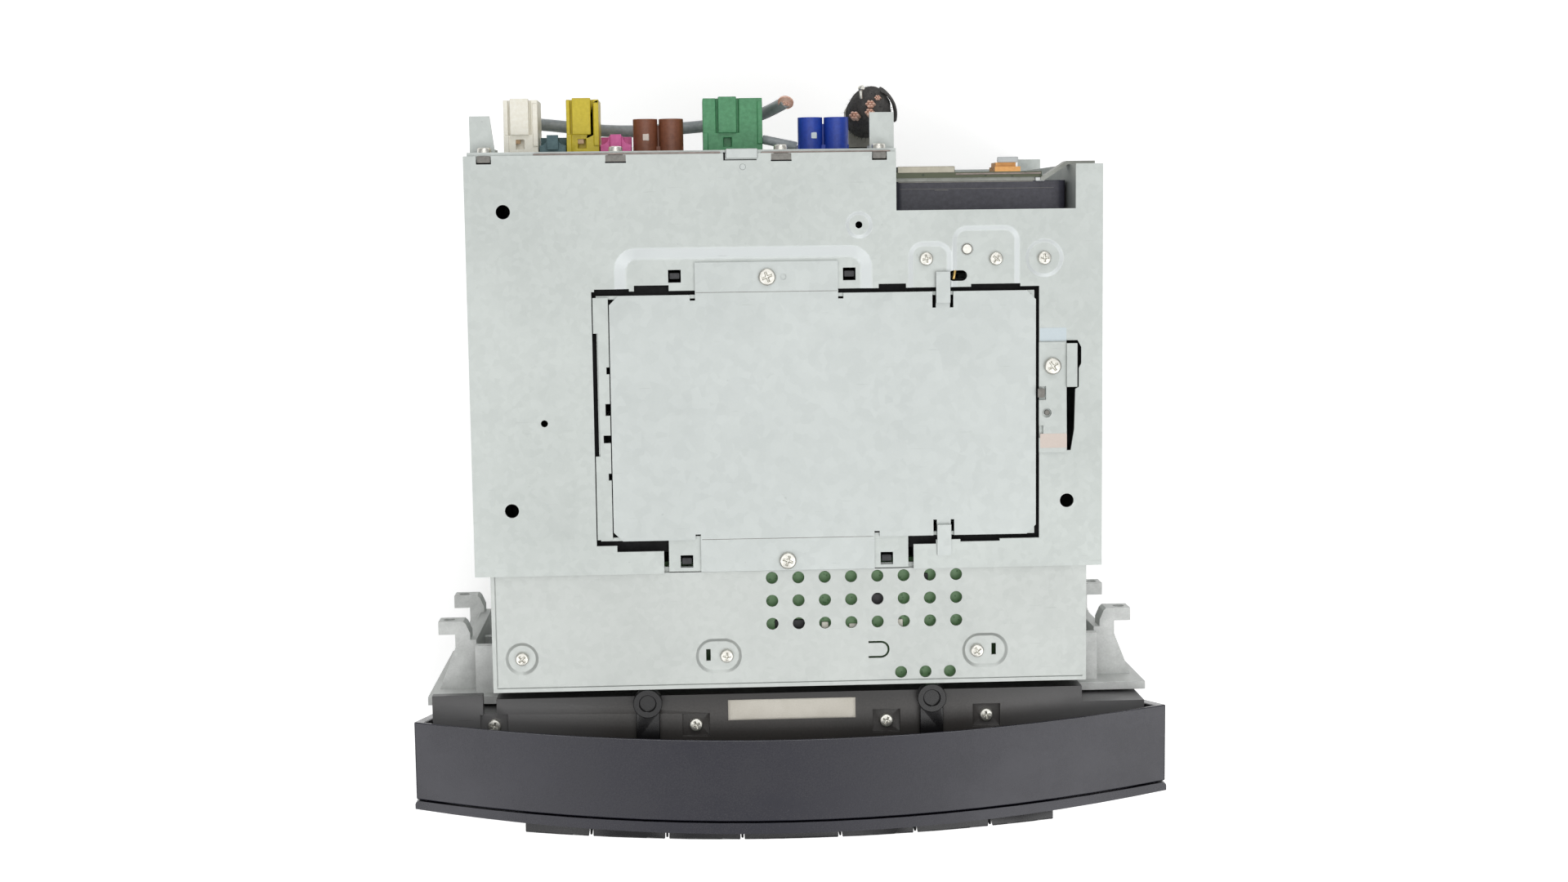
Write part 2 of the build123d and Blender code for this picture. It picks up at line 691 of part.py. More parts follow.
# Rubber mat and key board: arch round the display and the disc slot
arch_half = fascia_half - 11.0
arch_inner = slot_width / 2 + drive_x + 2.5
arch_low = 10.0
arch_high = fascia_height - 6.5
arch_mid = disc_z + slot_height / 2 + 1.2
with BuildPart() as key_mat:
    with BuildSketch(front_plane(mat_y)):
        with Locations((0, (mat_low + arch_high) / 2)):
            Rectangle(2 * arch_half, arch_high - mat_low)
        with Locations((0, (mat_low - 1 + arch_mid) / 2)):
            Rectangle(2 * arch_inner, arch_mid - mat_low + 1, mode=Mode.SUBTRACT)
    extrude(amount=-mat_thickness)
save(key_mat, "key_mat")

with BuildPart() as key_board:
    with BuildSketch(front_plane(board_front_y)):
        with Locations((0, (arch_low + arch_high) / 2)):
            Rectangle(2 * arch_half, arch_high - arch_low)
        with Locations((0, (arch_low - 1 + arch_mid) / 2)):
            Rectangle(2 * arch_inner, arch_mid - arch_low + 1, mode=Mode.SUBTRACT)
    extrude(amount=-board_thickness)
save(key_board, "key_board")

# Keys: bowed caps with lips behind the panel and stems that reach towards the mat
lip_front = (panel_back[0] + seat_gap, groove_r)
lip_back = (lip_front[0] + key_flange, groove_r)
stem_end_y = mat_y - key_travel - seat_gap
stem_half = 2.0
lip_reach = 1.0
key_gap = 0.6
key_edge_r = 0.5


def key_part(x0, x1, low, high, face, side_lip):
    """One key: cap with eased edges from its bowed face to the lip, the lip, and the stem."""
    with BuildPart() as key:
        bowed_block(x0, x1, face, lip_front, low, high)
        fillet(key.faces().sort_by(Axis.Y)[0].edges(), radius=key_edge_r)
        bowed_block(x0 - side_lip, x1 + side_lip, lip_front, lip_back, low - lip_reach, high + lip_reach)
        middle = (x0 + x1) / 2
        stem_start = arc_y(abs(middle) + stem_half, *lip_front)
        block(middle - stem_half, middle + stem_half, stem_start, stem_end_y,
              (low + high) / 2 - stem_half, (low + high) / 2 + stem_half)
    return key


for number, (left, right) in enumerate(zip(top_key_edges[:-1], top_key_edges[1:]), start=1):
    start = left if number == 1 else left + key_gap
    end = right if number == len(top_key_edges) - 1 else right - key_gap
    top_key = key_part(start, end, top_key_low, top_key_low + top_key_height, (key_front_y, key_r), 0)
    save(top_key, f"top_key_{number}")

side_key_face = (bead_y - 0.8, bead_r)
for number, (side, z) in enumerate(side_keys, start=1):
    x = side * side_key_x
    side_key = key_part(x - side_key_width / 2, x + side_key_width / 2, z - side_key_height / 2,
                        z + side_key_height / 2, side_key_face, lip_reach)
    save(side_key, f"side_key_{number}")

# Encoders on the key board with their round shafts, and the knobs that turn on the shafts
encoder_half = 6.0
encoder_front_y = board_front_y - 5.0
knob_bore_depth = 5.0
shaft_end_y = knob_back_y - knob_bore_depth + 0.2
with BuildPart() as encoders:
    for x in (-knob_x, knob_x):
        block(x - encoder_half, x + encoder_half, encoder_front_y, board_front_y,
              knob_z - encoder_half, knob_z + encoder_half)
    with BuildSketch(front_plane(encoder_front_y)):
        with Locations((-knob_x, knob_z), (knob_x, knob_z)):
            Circle(shaft_r)
    extrude(amount=encoder_front_y - shaft_end_y)
save(encoders, "encoders")

for name, x in (("volume_knob", -knob_x), ("tuning_knob", knob_x)):
    with BuildPart() as knob:
        with BuildSketch(front_plane(knob_back_y)):
            with Locations((x, knob_z)):
                Circle(knob_r)
        extrude(amount=knob_back_y - knob_front_y)
        chamfer(edges().filter_by(GeomType.CIRCLE).group_by(Axis.Y)[0], length=1.2)
        with BuildSketch(front_plane(knob_back_y)):
            with Locations((x, knob_z)):
                Circle(shaft_r + shaft_clearance)
        extrude(amount=knob_bore_depth, mode=Mode.SUBTRACT)
        with BuildSketch(front_plane(knob_front_y)):
            with Locations((x, knob_z + knob_r - 3.2)):
                SlotOverall(3.6, 1.0, rotation=90)
        extrude(amount=-0.5, mode=Mode.SUBTRACT)
    save(knob, name)

# Carrier: moulded housing between the chassis and the fascia
notch_depth = 1.2
notch_half_x = 4.0
notch_half_y = 3.4
straight_r = 1e5
with BuildPart() as carrier:
    skirt_front = (panel_back[0] + seat_gap, groove_r)
    skirt_half = carrier_half - skirt_wall
    bowed_block(-carrier_half, carrier_half, skirt_front, (carrier_front_y + carrier_wall, straight_r),
                carrier_low, carrier_top - skirt_drop)
    bowed_block(-skirt_half, skirt_half, (skirt_front[0] - carrier_wall, groove_r),
                (carrier_front_y, straight_r), carrier_low + skirt_wall, carrier_top, mode=Mode.SUBTRACT)
    block(-carrier_half, carrier_half, carrier_front_y, carrier_step_y, carrier_low, carrier_top)
    block(-carrier_back_half, carrier_back_half, carrier_step_y, carrier_back_y, carrier_low, carrier_top)
    inner = carrier_half - carrier_wall
    back_inner = carrier_back_half - carrier_wall
    block(-inner, inner, carrier_front_y + carrier_wall, carrier_step_y - carrier_wall,
          carrier_low + carrier_wall, carrier_top - carrier_wall, mode=Mode.SUBTRACT)
    block(-back_inner, back_inner, carrier_step_y - carrier_wall, carrier_back_y - carrier_wall,
          carrier_low + carrier_wall, carrier_top - carrier_wall, mode=Mode.SUBTRACT)
    block(-carrier_half, -carrier_half + wing_width, carrier_step_y, wing_back_y, carrier_top - wing_thick,
          carrier_top)
    disc_slot(carrier_front_y, carrier_back_y, 0.5)
    block(-ribbon_half, ribbon_half, carrier_front_y, carrier_back_y, ribbon_low, ribbon_high,
          mode=Mode.SUBTRACT)
    for x, y in carrier_screws:
        block(x - notch_half_x, x + notch_half_x, y - notch_half_y, y + notch_half_y,
              carrier_top - notch_depth, carrier_top, mode=Mode.SUBTRACT)
    hole_down(carrier_screws, shank_r + screw_clearance, carrier_top, 2 * carrier_wall)
    for x in (-mount_pad_x, mount_pad_x):
        for z in mount_pad_levels:
            block(x - mount_pad_half, x + mount_pad_half, carrier_back_y, front_y, z - mount_pad_half,
                  z + mount_pad_half)
save(carrier, "carrier")

with BuildPart() as small_screws:
    screw_heads(cover_screws, small_head_r, top_z - shallow)
    screw_heads(shell_screws, small_head_r, shell_top_z - boss_depth)
    screw_heads(carrier_screws, small_head_r, carrier_top - notch_depth)
    heads = [(-x, rear_screw_z) for x in rear_screw_x]
    for y, radius, length in ((panel_y, small_head_r, head_height), (panel_y, shank_r, -shank_length)):
        with BuildSketch(rear_plane(y)) as circles:
            with Locations(*heads):
                Circle(radius)
        extrude(circles.sketch, amount=length)
save(small_screws, "small_screws")

# Locating pegs that stand on the carrier
peg_places = [(-41.7, -81.0), (40.9, -81.2)]
peg_r = 4.2
peg_height = 3.6
peg_dish_r = 2.4
peg_dish = 1.0
peg_arm_half = 3.4
peg_arm_height = 2.4
peg_arm_end = carrier_step_y - 8.0
with BuildPart() as locating_pegs:
    for x, y in peg_places:
        block(x - peg_arm_half, x + peg_arm_half, peg_arm_end, y, carrier_top, carrier_top + peg_arm_height)
        with BuildSketch(Plane.XY.offset(carrier_top)) as head:
            with Locations((x, y)):
                Circle(peg_r)
        extrude(head.sketch, amount=peg_height)
        with BuildSketch(Plane.XY.offset(carrier_top + peg_height)) as dish:
            with Locations((x, y)):
                Circle(peg_dish_r)
        extrude(dish.sketch, amount=-peg_dish, mode=Mode.SUBTRACT)
save(locating_pegs, "locating_pegs")

# Cast mounting brackets: two hooked lugs on a web and a foot, mirrored to the other side
foot_low = 18.0
foot_high = 84.0
lug_front_y = lug_rear_y - lug_thick_y
web_y = lug_rear_y - 5.6
web_thick = 3.0
stem_bend_y = lug_rear_y - 7.9
lug_root_y = lug_rear_y - 3.6
lug_corner = 0.8
stem_overlap = 1.2
gusset_z = 46.0
gusset_rear_y = lug_rear_y - 9.6
foot_hole_z = 50.0
foot_hole_r = 1.6
with BuildPart() as left_bracket:
    for z in (lug_low_z, lug_high_z):
        with BuildSketch(Plane.XY.offset(z)):
            with BuildLine():
                Polyline((-lug_inner_x - lug_corner, lug_rear_y), (-lug_outer_x, lug_rear_y),
                         (-lug_outer_x, lug_front_y), (-stem_outer_x, lug_front_y),
                         (-stem_outer_x, stem_bend_y), (-lug_outer_x, foot_y),
                         (-lug_inner_x + stem_overlap, foot_y), (-lug_inner_x + stem_overlap, lug_root_y),
                         (-lug_inner_x, lug_rear_y - lug_corner), close=True)
            make_face()
        extrude(amount=lug_height)
    block(-lug_inner_x, -lug_inner_x + web_thick, foot_y, web_y, lug_low_z, lug_high_z + lug_height)
    block(-lug_inner_x, -front_side_x, foot_y, gusset_rear_y, gusset_z, gusset_z + web_thick)
    block(-front_side_x - web_thick, -front_side_x, foot_y, gusset_rear_y, lug_low_z, gusset_z)
    block(-foot_outer_x, -front_side_x, foot_y - foot_thick, foot_y, foot_low, foot_high)
    with BuildSketch(rear_plane(lug_rear_y)):
        with Locations(*[(lug_hole_x, z + lug_height / 2) for z in (lug_low_z, lug_high_z)]):
            Circle(lug_hole_r)
    extrude(amount=-lug_thick_y, mode=Mode.SUBTRACT)
    with BuildSketch(rear_plane(foot_y)):
        with Locations((lug_hole_x, foot_hole_z)):
            Circle(foot_hole_r)
    extrude(amount=-foot_thick, mode=Mode.SUBTRACT)
save(left_bracket, "left_bracket")

with BuildPart() as right_bracket:
    mirror(left_bracket.part, about=Plane.YZ)
save(right_bracket, "right_bracket")

# Fan: square frame with a round duct, hub and struts, and a seven-bladed rotor on its pin
fan_rear_y = recess_y + fan_depth
fan_pin_r = 1.5
fan_corner = 2.5
fan_spider = 1.6
fan_spider_r = 8.0
strut_width = 2.4
with BuildPart() as fan_frame:
    with BuildSketch(rear_plane(recess_y)):
        with Locations((-fan_x, fan_z)):
            RectangleRounded(fan_size, fan_size, fan_corner)
            Circle(fan_duct_r, mode=Mode.SUBTRACT)
    extrude(amount=fan_depth)
    with BuildSketch(rear_plane(recess_y)):
        with Locations((-fan_x, fan_z)):
            Circle(fan_spider_r)
            Rectangle(2 * fan_duct_r + 1, strut_width)
            Rectangle(strut_width, 2 * fan_duct_r + 1)
    extrude(amount=fan_spider)
    with BuildSketch(rear_plane(recess_y)):
        with Locations((-fan_x, fan_z)):
            Circle(fan_pin_r)
    extrude(amount=fan_depth - fan_pin_r)
save(fan_frame, "fan_frame")

rotor_y0 = recess_y + 2.0
rotor_depth = 5.6
blade_thick = 1.0
blade_turn = 35
with BuildPart() as fan_rotor:
    with BuildSketch(rear_plane(rotor_y0)):
        with Locations((-fan_x, fan_z)):
            Circle(fan_hub_r)
    extrude(amount=rotor_depth)
    with Locations(Location((fan_x, rotor_y0 + rotor_depth / 2, fan_z), (90, 0, 0))):
        with PolarLocations((fan_hub_r + fan_blade_tip_r) / 2 - 0.5, fan_blades):
            Box(fan_blade_tip_r - fan_hub_r + 1, blade_thick, rotor_depth * 1.05, rotation=(blade_turn, 0, 0))
    with BuildSketch(rear_plane(rotor_y0)):
        with Locations((-fan_x, fan_z)):
            Circle(fan_pin_r + shaft_clearance)
    extrude(amount=rotor_depth - 0.2, mode=Mode.SUBTRACT)
save(fan_rotor, "fan_rotor")

# Fan bracket: plate over the fan with an arm that folds out to the column
plate_y = fan_rear_y
arm_start = recess_right - 7.2
arm_lead = 0.4
arm_end = side_x - 0.4
arm_bend = recess_right - 0.4
with BuildPart() as fan_bracket:
    block(recess_left, arm_start - 0.5, plate_y, plate_y + sheet, fan_top - fan_size - 2, fan_top)
    with BuildSketch(rear_plane(plate_y)):
        with Locations((-fan_x, fan_z)):
            Circle(fan_duct_r - 8)
    extrude(amount=sheet, mode=Mode.SUBTRACT)
    with BuildSketch(Plane.XY.offset(fan_top - 4)):
        with BuildLine():
            Polyline((arm_start - 1, plate_y), (arm_start, plate_y), (arm_bend, column_y),
                     (arm_end, column_y), (arm_end, column_y + sheet),
                     (arm_bend - arm_lead, column_y + sheet), (arm_start - arm_lead, plate_y + sheet),
                     (arm_start - 1, plate_y + sheet), close=True)
        make_face()
    extrude(amount=6)
save(fan_bracket, "fan_bracket")

# Fan board with its shield can, and the connector on it
fan_board_top = fan_top + 1.0
board_rear = plate_y + sheet + board_thickness
fan_board_low = fan_board_top - 19.0
can_right = recess_left + 18.0
can_thick = 1.6
connector_left = recess_left + 29.6
connector_width = 7.4
connector_low = fan_board_top - 11.0
connector_base = 1.4
connector_step = 1.2
can_inset = 1.5
can_rise = 2.0
with BuildPart() as fan_board:
    block(recess_left + 1.0, arm_start - 0.6, plate_y + sheet, board_rear, fan_board_low, fan_board_top)
    block(recess_left + can_inset, can_right, board_rear, board_rear + can_thick,
          fan_board_low + can_rise, fan_board_top)
save(fan_board, "fan_board")

with BuildPart() as fan_connector:
    connector_y = board_rear + connector_base
    block(connector_left, connector_left + connector_width, board_rear, connector_y, connector_low,
          fan_board_top)
    block(connector_left + 0.4, connector_left + connector_width - connector_step, connector_y,
          connector_y + connector_step, connector_low + 1.0, fan_board_top - connector_step)
save(fan_connector, "fan_connector")

# Couplers on the rear panel: body with side ribs, latch tongue and a latch window
wide_coupler = 12.0
latch_lip = 0.4
latch_root = 5.2
latch_rise = 1.0
latch_half = 2.6
groove_half = 3.3
window_half = 1.2
window_y = (1.2, 3.9)
rib_width = 1.4
rib_height = 0.5
shell_wall = 1.5
mouth_depth = 3.0


def coupler(name, x0, x1, z_top):
    """Square coupler shell with its latch on top."""
    with BuildPart() as shell:
        block(x0, x1, panel_y, panel_y + coupler_out, z_top - coupler_height, z_top)
        middle = x0 + (x1 - x0) * 0.47 if x1 - x0 < wide_coupler else x0 + wide_coupler / 2 + 1.0
        tip_y = panel_y + coupler_out + latch_lip
        root_y = panel_y + latch_root
        block(middle - groove_half, middle + groove_half, root_y, panel_y + coupler_out, z_top - latch_rise,
              z_top, mode=Mode.SUBTRACT)
        block(middle - latch_half, middle + latch_half, root_y, tip_y, z_top - latch_rise,
              z_top + latch_rise)
        block(middle - window_half, middle + window_half, panel_y + window_y[0], panel_y + window_y[1],
              z_top - 2 * latch_rise, z_top, mode=Mode.SUBTRACT)
        block(x1 - rib_width, x1, panel_y + 2.0, tip_y - rib_width, z_top, z_top + rib_height)
        block(x0, x0 + rib_width, panel_y, root_y, z_top, z_top + rib_height)
        block(x0 + shell_wall, x1 - shell_wall, panel_y + coupler_out - mouth_depth, panel_y + coupler_out,
              z_top - coupler_height + shell_wall, z_top - 2.4 * shell_wall, mode=Mode.SUBTRACT)
    save(shell, name)


coupler("cream_coupler", -79.5, -69.8, socket_top)
coupler("yellow_coupler", -61.7, -52.5, socket_top)
coupler("green_coupler", -22.9, -5.9, socket_top)

# Jack pairs
jack_base = 1.6
jack_base_drop = 2.0
jack_wall = 0.9
jack_pin_r = 0.6
jack_web_half = 0.8


def jack_pair(name, x0, x1):
    """Two round jacks side by side on a common base, each with a bore and a centre pin."""
    jack_r = (x1 - x0) / 4 - 0.2
    middle = (x0 + x1) / 2
    centres = [(-middle - side * (x1 - x0) / 4, socket_top - jack_r) for side in (-1, 1)]
    with BuildPart() as jacks:
        block(x0 + 0.2, x1 - 0.2, panel_y, panel_y + jack_base, socket_top - coupler_height,
              socket_top - jack_base_drop)
        with BuildSketch(rear_plane(panel_y)):
            with Locations(*centres):
                Circle(jack_r)
        extrude(amount=jack_out)
        with BuildSketch(rear_plane(panel_y + jack_out)):
            with Locations(*centres):
                Circle(jack_r - jack_wall)
                Circle(jack_pin_r, mode=Mode.SUBTRACT)
        extrude(amount=jack_base - jack_out, mode=Mode.SUBTRACT)
        block(middle - jack_web_half, middle + jack_web_half, panel_y, panel_y + jack_out - 2 * jack_wall,
              socket_top - coupler_height, socket_top - jack_r)
    save(jacks, name)


jack_pair("brown_jacks", -43.1, -28.3)
jack_pair("blue_jacks", 4.2, 19.2)

# Low sockets
low_height = 9.0
scoop_step = 1.0
scoop_r = 2.4
scoop_depth = 6.0
key_block_half = 1.6


def low_socket(name, x0, x1):
    """Low socket whose top is scooped by two quarter rounds beside a centre block."""
    with BuildPart() as socket:
        low_top = socket_top - scoop_step
        block(x0, x1, panel_y, panel_y + low_out, low_top - low_height, low_top)
        with BuildSketch(Plane.XY.offset(low_top)):
            with Locations((x0, panel_y + low_out), (x1, panel_y + low_out)):
                Circle(scoop_r)
        extrude(amount=-scoop_depth, mode=Mode.SUBTRACT)
        block((x0 + x1) / 2 - key_block_half, (x0 + x1) / 2 + key_block_half, panel_y + scoop_step,
              panel_y + low_out + scoop_step / 2, low_top, socket_top)
    save(socket, name)


low_socket("teal_socket", -69.5, -62.0)
low_socket("pink_socket", -52.2, -43.4)

# Main socket: shell for the vehicle's plug, with one free chamber and one that holds the cut-off plug
main_in = 10.0
main_out = 2.2
main_wall = 1.6
main_flange = 1.2
chamber_split = -2.5
plug_gap = 0.3
pin_length = 5.0
pin_width = 0.8
pin_pitch_x = 5.0
pin_pitch_z = 6.0
main_floor_y = rear_y - main_in + main_wall
main_mouth_y = rear_y + main_out
with BuildPart() as main_socket:
    block(main_left, main_right, rear_y - main_in, main_mouth_y, main_low, main_high)
    block(main_left - main_flange, main_right + main_flange, panel_y, main_mouth_y - plug_gap,
          main_low - main_flange, main_high + main_flange)
    chambers = ((main_left + main_wall, chamber_split), (chamber_split + main_wall, main_right - main_wall))
    for x0, x1 in chambers:
        block(x0, x1, main_floor_y, main_mouth_y, main_low + main_wall, main_high - main_wall,
              mode=Mode.SUBTRACT)
    with BuildSketch(rear_plane(main_floor_y)):
        with Locations((-(main_left + main_wall + chamber_split) / 2, (main_low + main_high) / 2)):
            with GridLocations(pin_pitch_x, pin_pitch_z, 5, 5):
                Rectangle(pin_width, pin_width)
    extrude(amount=pin_length)
save(main_socket, "main_socket")

# Cut-off plug in the right chamber, and the taped stub of its loom
plug_x0 = chamber_split + main_wall + plug_gap
plug_x1 = main_right - main_wall - plug_gap
plug_face_y = main_mouth_y + plug_gap
plug_top = main_high - main_wall - plug_gap
stub_x = 26.5
stub_y = 87.5
stub_r = 6.4
stub_low = main_high + 4.0
stub_high = 80.0
boot_half = 5.2
boot_low = 38.0
boot_step = 4.0
boot_corner = 2.5
boot_rear_y = stub_y + boot_half
with BuildPart() as loom_plug:
    block(plug_x0, plug_x1, main_floor_y + plug_gap, plug_face_y, main_low + main_wall + plug_gap, plug_top)
    block(stub_x - boot_half, plug_x1, plug_face_y, boot_rear_y, boot_low, plug_top)
    block(stub_x - boot_half, stub_x + boot_half, plug_face_y + plug_gap, boot_rear_y,
          boot_low + boot_step, stub_low)
    fillet(edges().filter_by(Axis.Z).group_by(Axis.Y)[-1], radius=boot_corner)
save(loom_plug, "loom_plug")

with BuildPart() as loom_stub:
    levels = ((stub_low, 0.0, 0.0, 0.82), (stub_low + 8, -0.6, 0.4, 1.0), (stub_high - 8, 0.0, 2.2, 1.06),
              (stub_high - 2, 0.6, 3.2, 0.86), (stub_high, 0.8, 3.4, 0.55))
    for z, shift_x, shift_y, share in levels:
        with BuildSketch(Plane.XY.offset(z)):
            with Locations((stub_x + shift_x, stub_y + shift_y)):
                Circle(stub_r * share)
    loft()
save(loom_stub, "loom_stub")

# Grey cut-off cable: leaves the cream coupler downwards and runs along the sockets to its cut end
cable_r = 1.8
cable_route = [(-74.6, 87.0, socket_top - coupler_height), (-74.6, 87.0, 64.0), (-66.0, 86.4, 60.5),
               (-55.0, 84.8, 63.5), (-43.5, 84.2, 65.5), (-31.0, 85.0, 63.2), (-18.5, 86.0, 64.2),
               (-8.0, 87.8, 67.0), (-2.0, 90.0, 73.5), (1.4, 91.8, 80.0)]


def arc_radius(before, corner, after):
    """Largest tangent arc that both runs at a corner leave room for."""
    a, b, c = Vector(*before), Vector(*corner), Vector(*after)
    turn = math.radians((b - a).get_angle(c - b))
    return 0.45 * min((b - a).length, (c - b).length) / math.tan(turn / 2)


cable_radii = [arc_radius(*cable_route[i - 1:i + 2]) for i in range(1, len(cable_route) - 1)]
print("cable radii", [round(r, 1) for r in cable_radii])
with BuildPart() as grey_cable:
    with BuildLine() as cable_line:
        FilletPolyline(*cable_route, radius=cable_radii)
    with BuildSketch(Plane(origin=cable_route[0], z_dir=(0, 0, -1))):
        Circle(cable_r)
    sweep()
cable_length = sum(edge.length for edge in cable_line.edges())
print("cable length", round(cable_length, 1), "volume share",
      round(grey_cable.part.volume / (math.pi * cable_r ** 2 * cable_length), 4))
save(grey_cable, "grey_cable")

# Main board under the vents: on posts below the shell's bosses, with its parts on top
board_drop = 10.0
board_z = top_z - board_drop
board_half = front_side_x - 3.0
post_r = 2.6
board_parts = [(-66, -58, 9, 9, 2.2), (-50, -64, 12, 8, 1.6), (-38, -54, 7, 7, 3.0), (-28, -56, 5, 9, 1.2),
               (-4, -52, 4, 6, 2.4), (4, -57, 8, 5, 1.4), (13, -50, 5, 5, 3.2), (20, -58, 6, 9, 1.2),
               (32, -52, 10, 10, 1.8), (44, -62, 6, 4, 2.6), (46, -50, 4, 6, 1.2), (66, -58, 12, 12, 2.4)]
with BuildPart() as main_board:
    block(-board_half, board_half, front_y + 3, cover_front_y + 2, board_z, board_z + board_thickness)
    for x, y, width, length, height in board_parts:
        block(x - width / 2, x + width / 2, y - length / 2, y + length / 2, board_z + board_thickness,
              board_z + board_thickness + height)
    with BuildSketch(Plane.XY.offset(board_z + board_thickness)):
        with Locations(*shell_screws):
            Circle(post_r)
    extrude(amount=shell_top_z - boss_depth - sheet - board_z - board_thickness)
    hole_down(shell_screws, shank_r + screw_clearance, shell_top_z, 2 * shank_length)
save(main_board, "main_board")


def gear_outline(centre, teeth, tooth_at, bore):
    """Straight-flanked gear with a tooth at an angle, tapering from root to tip, with backlash."""
    pitch_r = gear_module * teeth / 2
    step = 2 * math.pi / teeth
    rings = ((pitch_r - 1.2 * gear_module, 0.31), (pitch_r, 0.22), (pitch_r + 0.85 * gear_module, 0.12))
    points = []
    for tooth in range(teeth):
        angle = tooth_at + tooth * step
        flank = [(r, angle - half * step) for r, half in rings]
        flank += [(r, angle + half * step) for r, half in reversed(rings)]
        points += [(centre[0] + r * math.cos(a), centre[1] + r * math.sin(a)) for r, a in flank]
    with BuildSketch(Plane.YZ) as outline:
        with BuildLine():
            Polyline(*points, close=True)
        make_face()
        with Locations(centre):
            Circle(bore, mode=Mode.SUBTRACT)
    return outline.sketch


def disc_along_x(x0, x1, centre, radius, mode=Mode.ADD):
    """Round bar between two x positions, about a line along X."""
    with BuildSketch(Plane.YZ.offset(x0)) as circle:
        with Locations(centre):
            Circle(radius)
    extrude(circle.sketch, amount=x1 - x0, mode=mode)


# Loading train: roller with its gear, idler, motor pinion
roller_centre = (-22.0, disc_z - 0.6 - roller_r)
idler_angle = math.radians(-20)
pinion_angle = 0.0
idler_distance = gear_module * (roller_teeth + idler_teeth) / 2
pinion_distance = gear_module * (idler_teeth + pinion_teeth) / 2
idler_centre = (roller_centre[0] + idler_distance * math.cos(idler_angle),
                roller_centre[1] + idler_distance * math.sin(idler_angle))
pinion_centre = (idler_centre[0] + pinion_distance * math.cos(pinion_angle),
                 idler_centre[1] + pinion_distance * math.sin(pinion_angle))
idler_step = 2 * math.pi / idler_teeth
pinion_step = 2 * math.pi / pinion_teeth
idler_tooth_at = idler_angle + math.pi + idler_step / 2
idler_share = (pinion_angle - idler_tooth_at) / idler_step
pinion_tooth_at = pinion_angle + math.pi - (0.5 - idler_share) * pinion_step
gear_x1 = drive_left - 1.0
gear_x0 = gear_x1 - gear_width
bearing_r = roller_shaft_r + shaft_clearance

# Drive frame: open-topped box that hangs in the hatch opening and carries the loading train
flange_squares = [(-29.6, -39.3), (27.9, -39.5)]
with BuildPart() as drive_frame:
    block(drive_left, drive_right, drive_front, drive_rear, drive_z, frame_top)
    block(drive_left + sheet, drive_right - sheet, drive_front + sheet, drive_rear - sheet,
          drive_z + sheet, frame_top, mode=Mode.SUBTRACT)
    disc_slot(drive_front, drive_front + sheet, -0.5)
    block(flange_left, flange_right, cover_front_y + seat_gap, drive_front, frame_top - sheet, frame_top)
    hole_down(tongue_screws[1:], shank_r + screw_clearance, frame_top, sheet)
    for x, y in flange_squares:
        block(x - square_hole, x + square_hole, y - square_hole, y + square_hole, frame_top - sheet,
              frame_top, mode=Mode.SUBTRACT)
    disc_along_x(drive_left, drive_left + sheet, roller_centre, bearing_r, mode=Mode.SUBTRACT)
    disc_along_x(drive_right - sheet, drive_right, roller_centre, bearing_r, mode=Mode.SUBTRACT)
    disc_along_x(drive_left, drive_left + sheet, pinion_centre, pinion_shaft_r + 0.6, mode=Mode.SUBTRACT)
    disc_along_x(gear_x0 - 0.6, drive_left, idler_centre, roller_shaft_r)
save(drive_frame, "drive_frame")

with BuildPart() as load_roller:
    disc_along_x(drive_x - roller_length / 2, drive_x + roller_length / 2, roller_centre, roller_r)
    disc_along_x(gear_x0 - 1.0, drive_right + 1.0, roller_centre, roller_shaft_r)
    gear = gear_outline(roller_centre, roller_teeth, idler_angle, roller_shaft_r - 0.1)
    extrude(gear.moved(Location((gear_x0, 0, 0))), amount=gear_width)
save(load_roller, "load_roller")

with BuildPart() as idler_gear:
    gear = gear_outline(idler_centre, idler_teeth, idler_tooth_at, bearing_r)
    extrude(gear.moved(Location((gear_x0, 0, 0))), amount=gear_width)
save(idler_gear, "idler_gear")

motor_r = 7.6
motor_length = 20.0
with BuildPart() as motor_pinion:
    gear = gear_outline(pinion_centre, pinion_teeth, pinion_tooth_at, pinion_shaft_r - 0.1)
    extrude(gear.moved(Location((gear_x0, 0, 0))), amount=gear_width)
    disc_along_x(gear_x0 - 0.5, drive_left + sheet + 6.0, pinion_centre, pinion_shaft_r)
save(motor_pinion, "motor_pinion")

# Motors: the loading motor on the frame's left wall and the spindle motor on its floor
spindle = (drive_x, 2.0)
spindle_r = 1.5
spindle_motor_r = 11.0
spindle_motor_height = 10.0
motor_bore = 8.0
floor_z = drive_z + sheet
with BuildPart() as drive_motors:
    disc_along_x(drive_left + sheet, drive_left + sheet + motor_length, pinion_centre, motor_r)
    disc_along_x(drive_left + sheet, drive_left + sheet + motor_bore, pinion_centre,
                 pinion_shaft_r + shaft_clearance, mode=Mode.SUBTRACT)
    with BuildSketch(Plane.XY.offset(floor_z)) as can:
        with Locations(spindle):
            Circle(spindle_motor_r)
            Circle(spindle_r + shaft_clearance, mode=Mode.SUBTRACT)
    extrude(can.sketch, amount=spindle_motor_height)
save(drive_motors, "drive_motors")

# Turntable with its centring cone, on the spindle
with BuildPart() as turntable:
    for z0, z1, radius in ((floor_z + 1.0, disc_z - 3.6, spindle_r), (disc_z - 3.6, disc_z - 1.6, 13.0),
                           (disc_z - 1.6, disc_z - 0.4, 7.4)):
        with BuildSketch(Plane.XY.offset(z0)) as ring:
            with Locations(spindle):
                Circle(radius)
        extrude(ring.sketch, amount=z1 - z0)
    chamfer(edges().filter_by(GeomType.CIRCLE).group_by(Axis.Z)[-1], length=0.8)
save(turntable, "turntable")

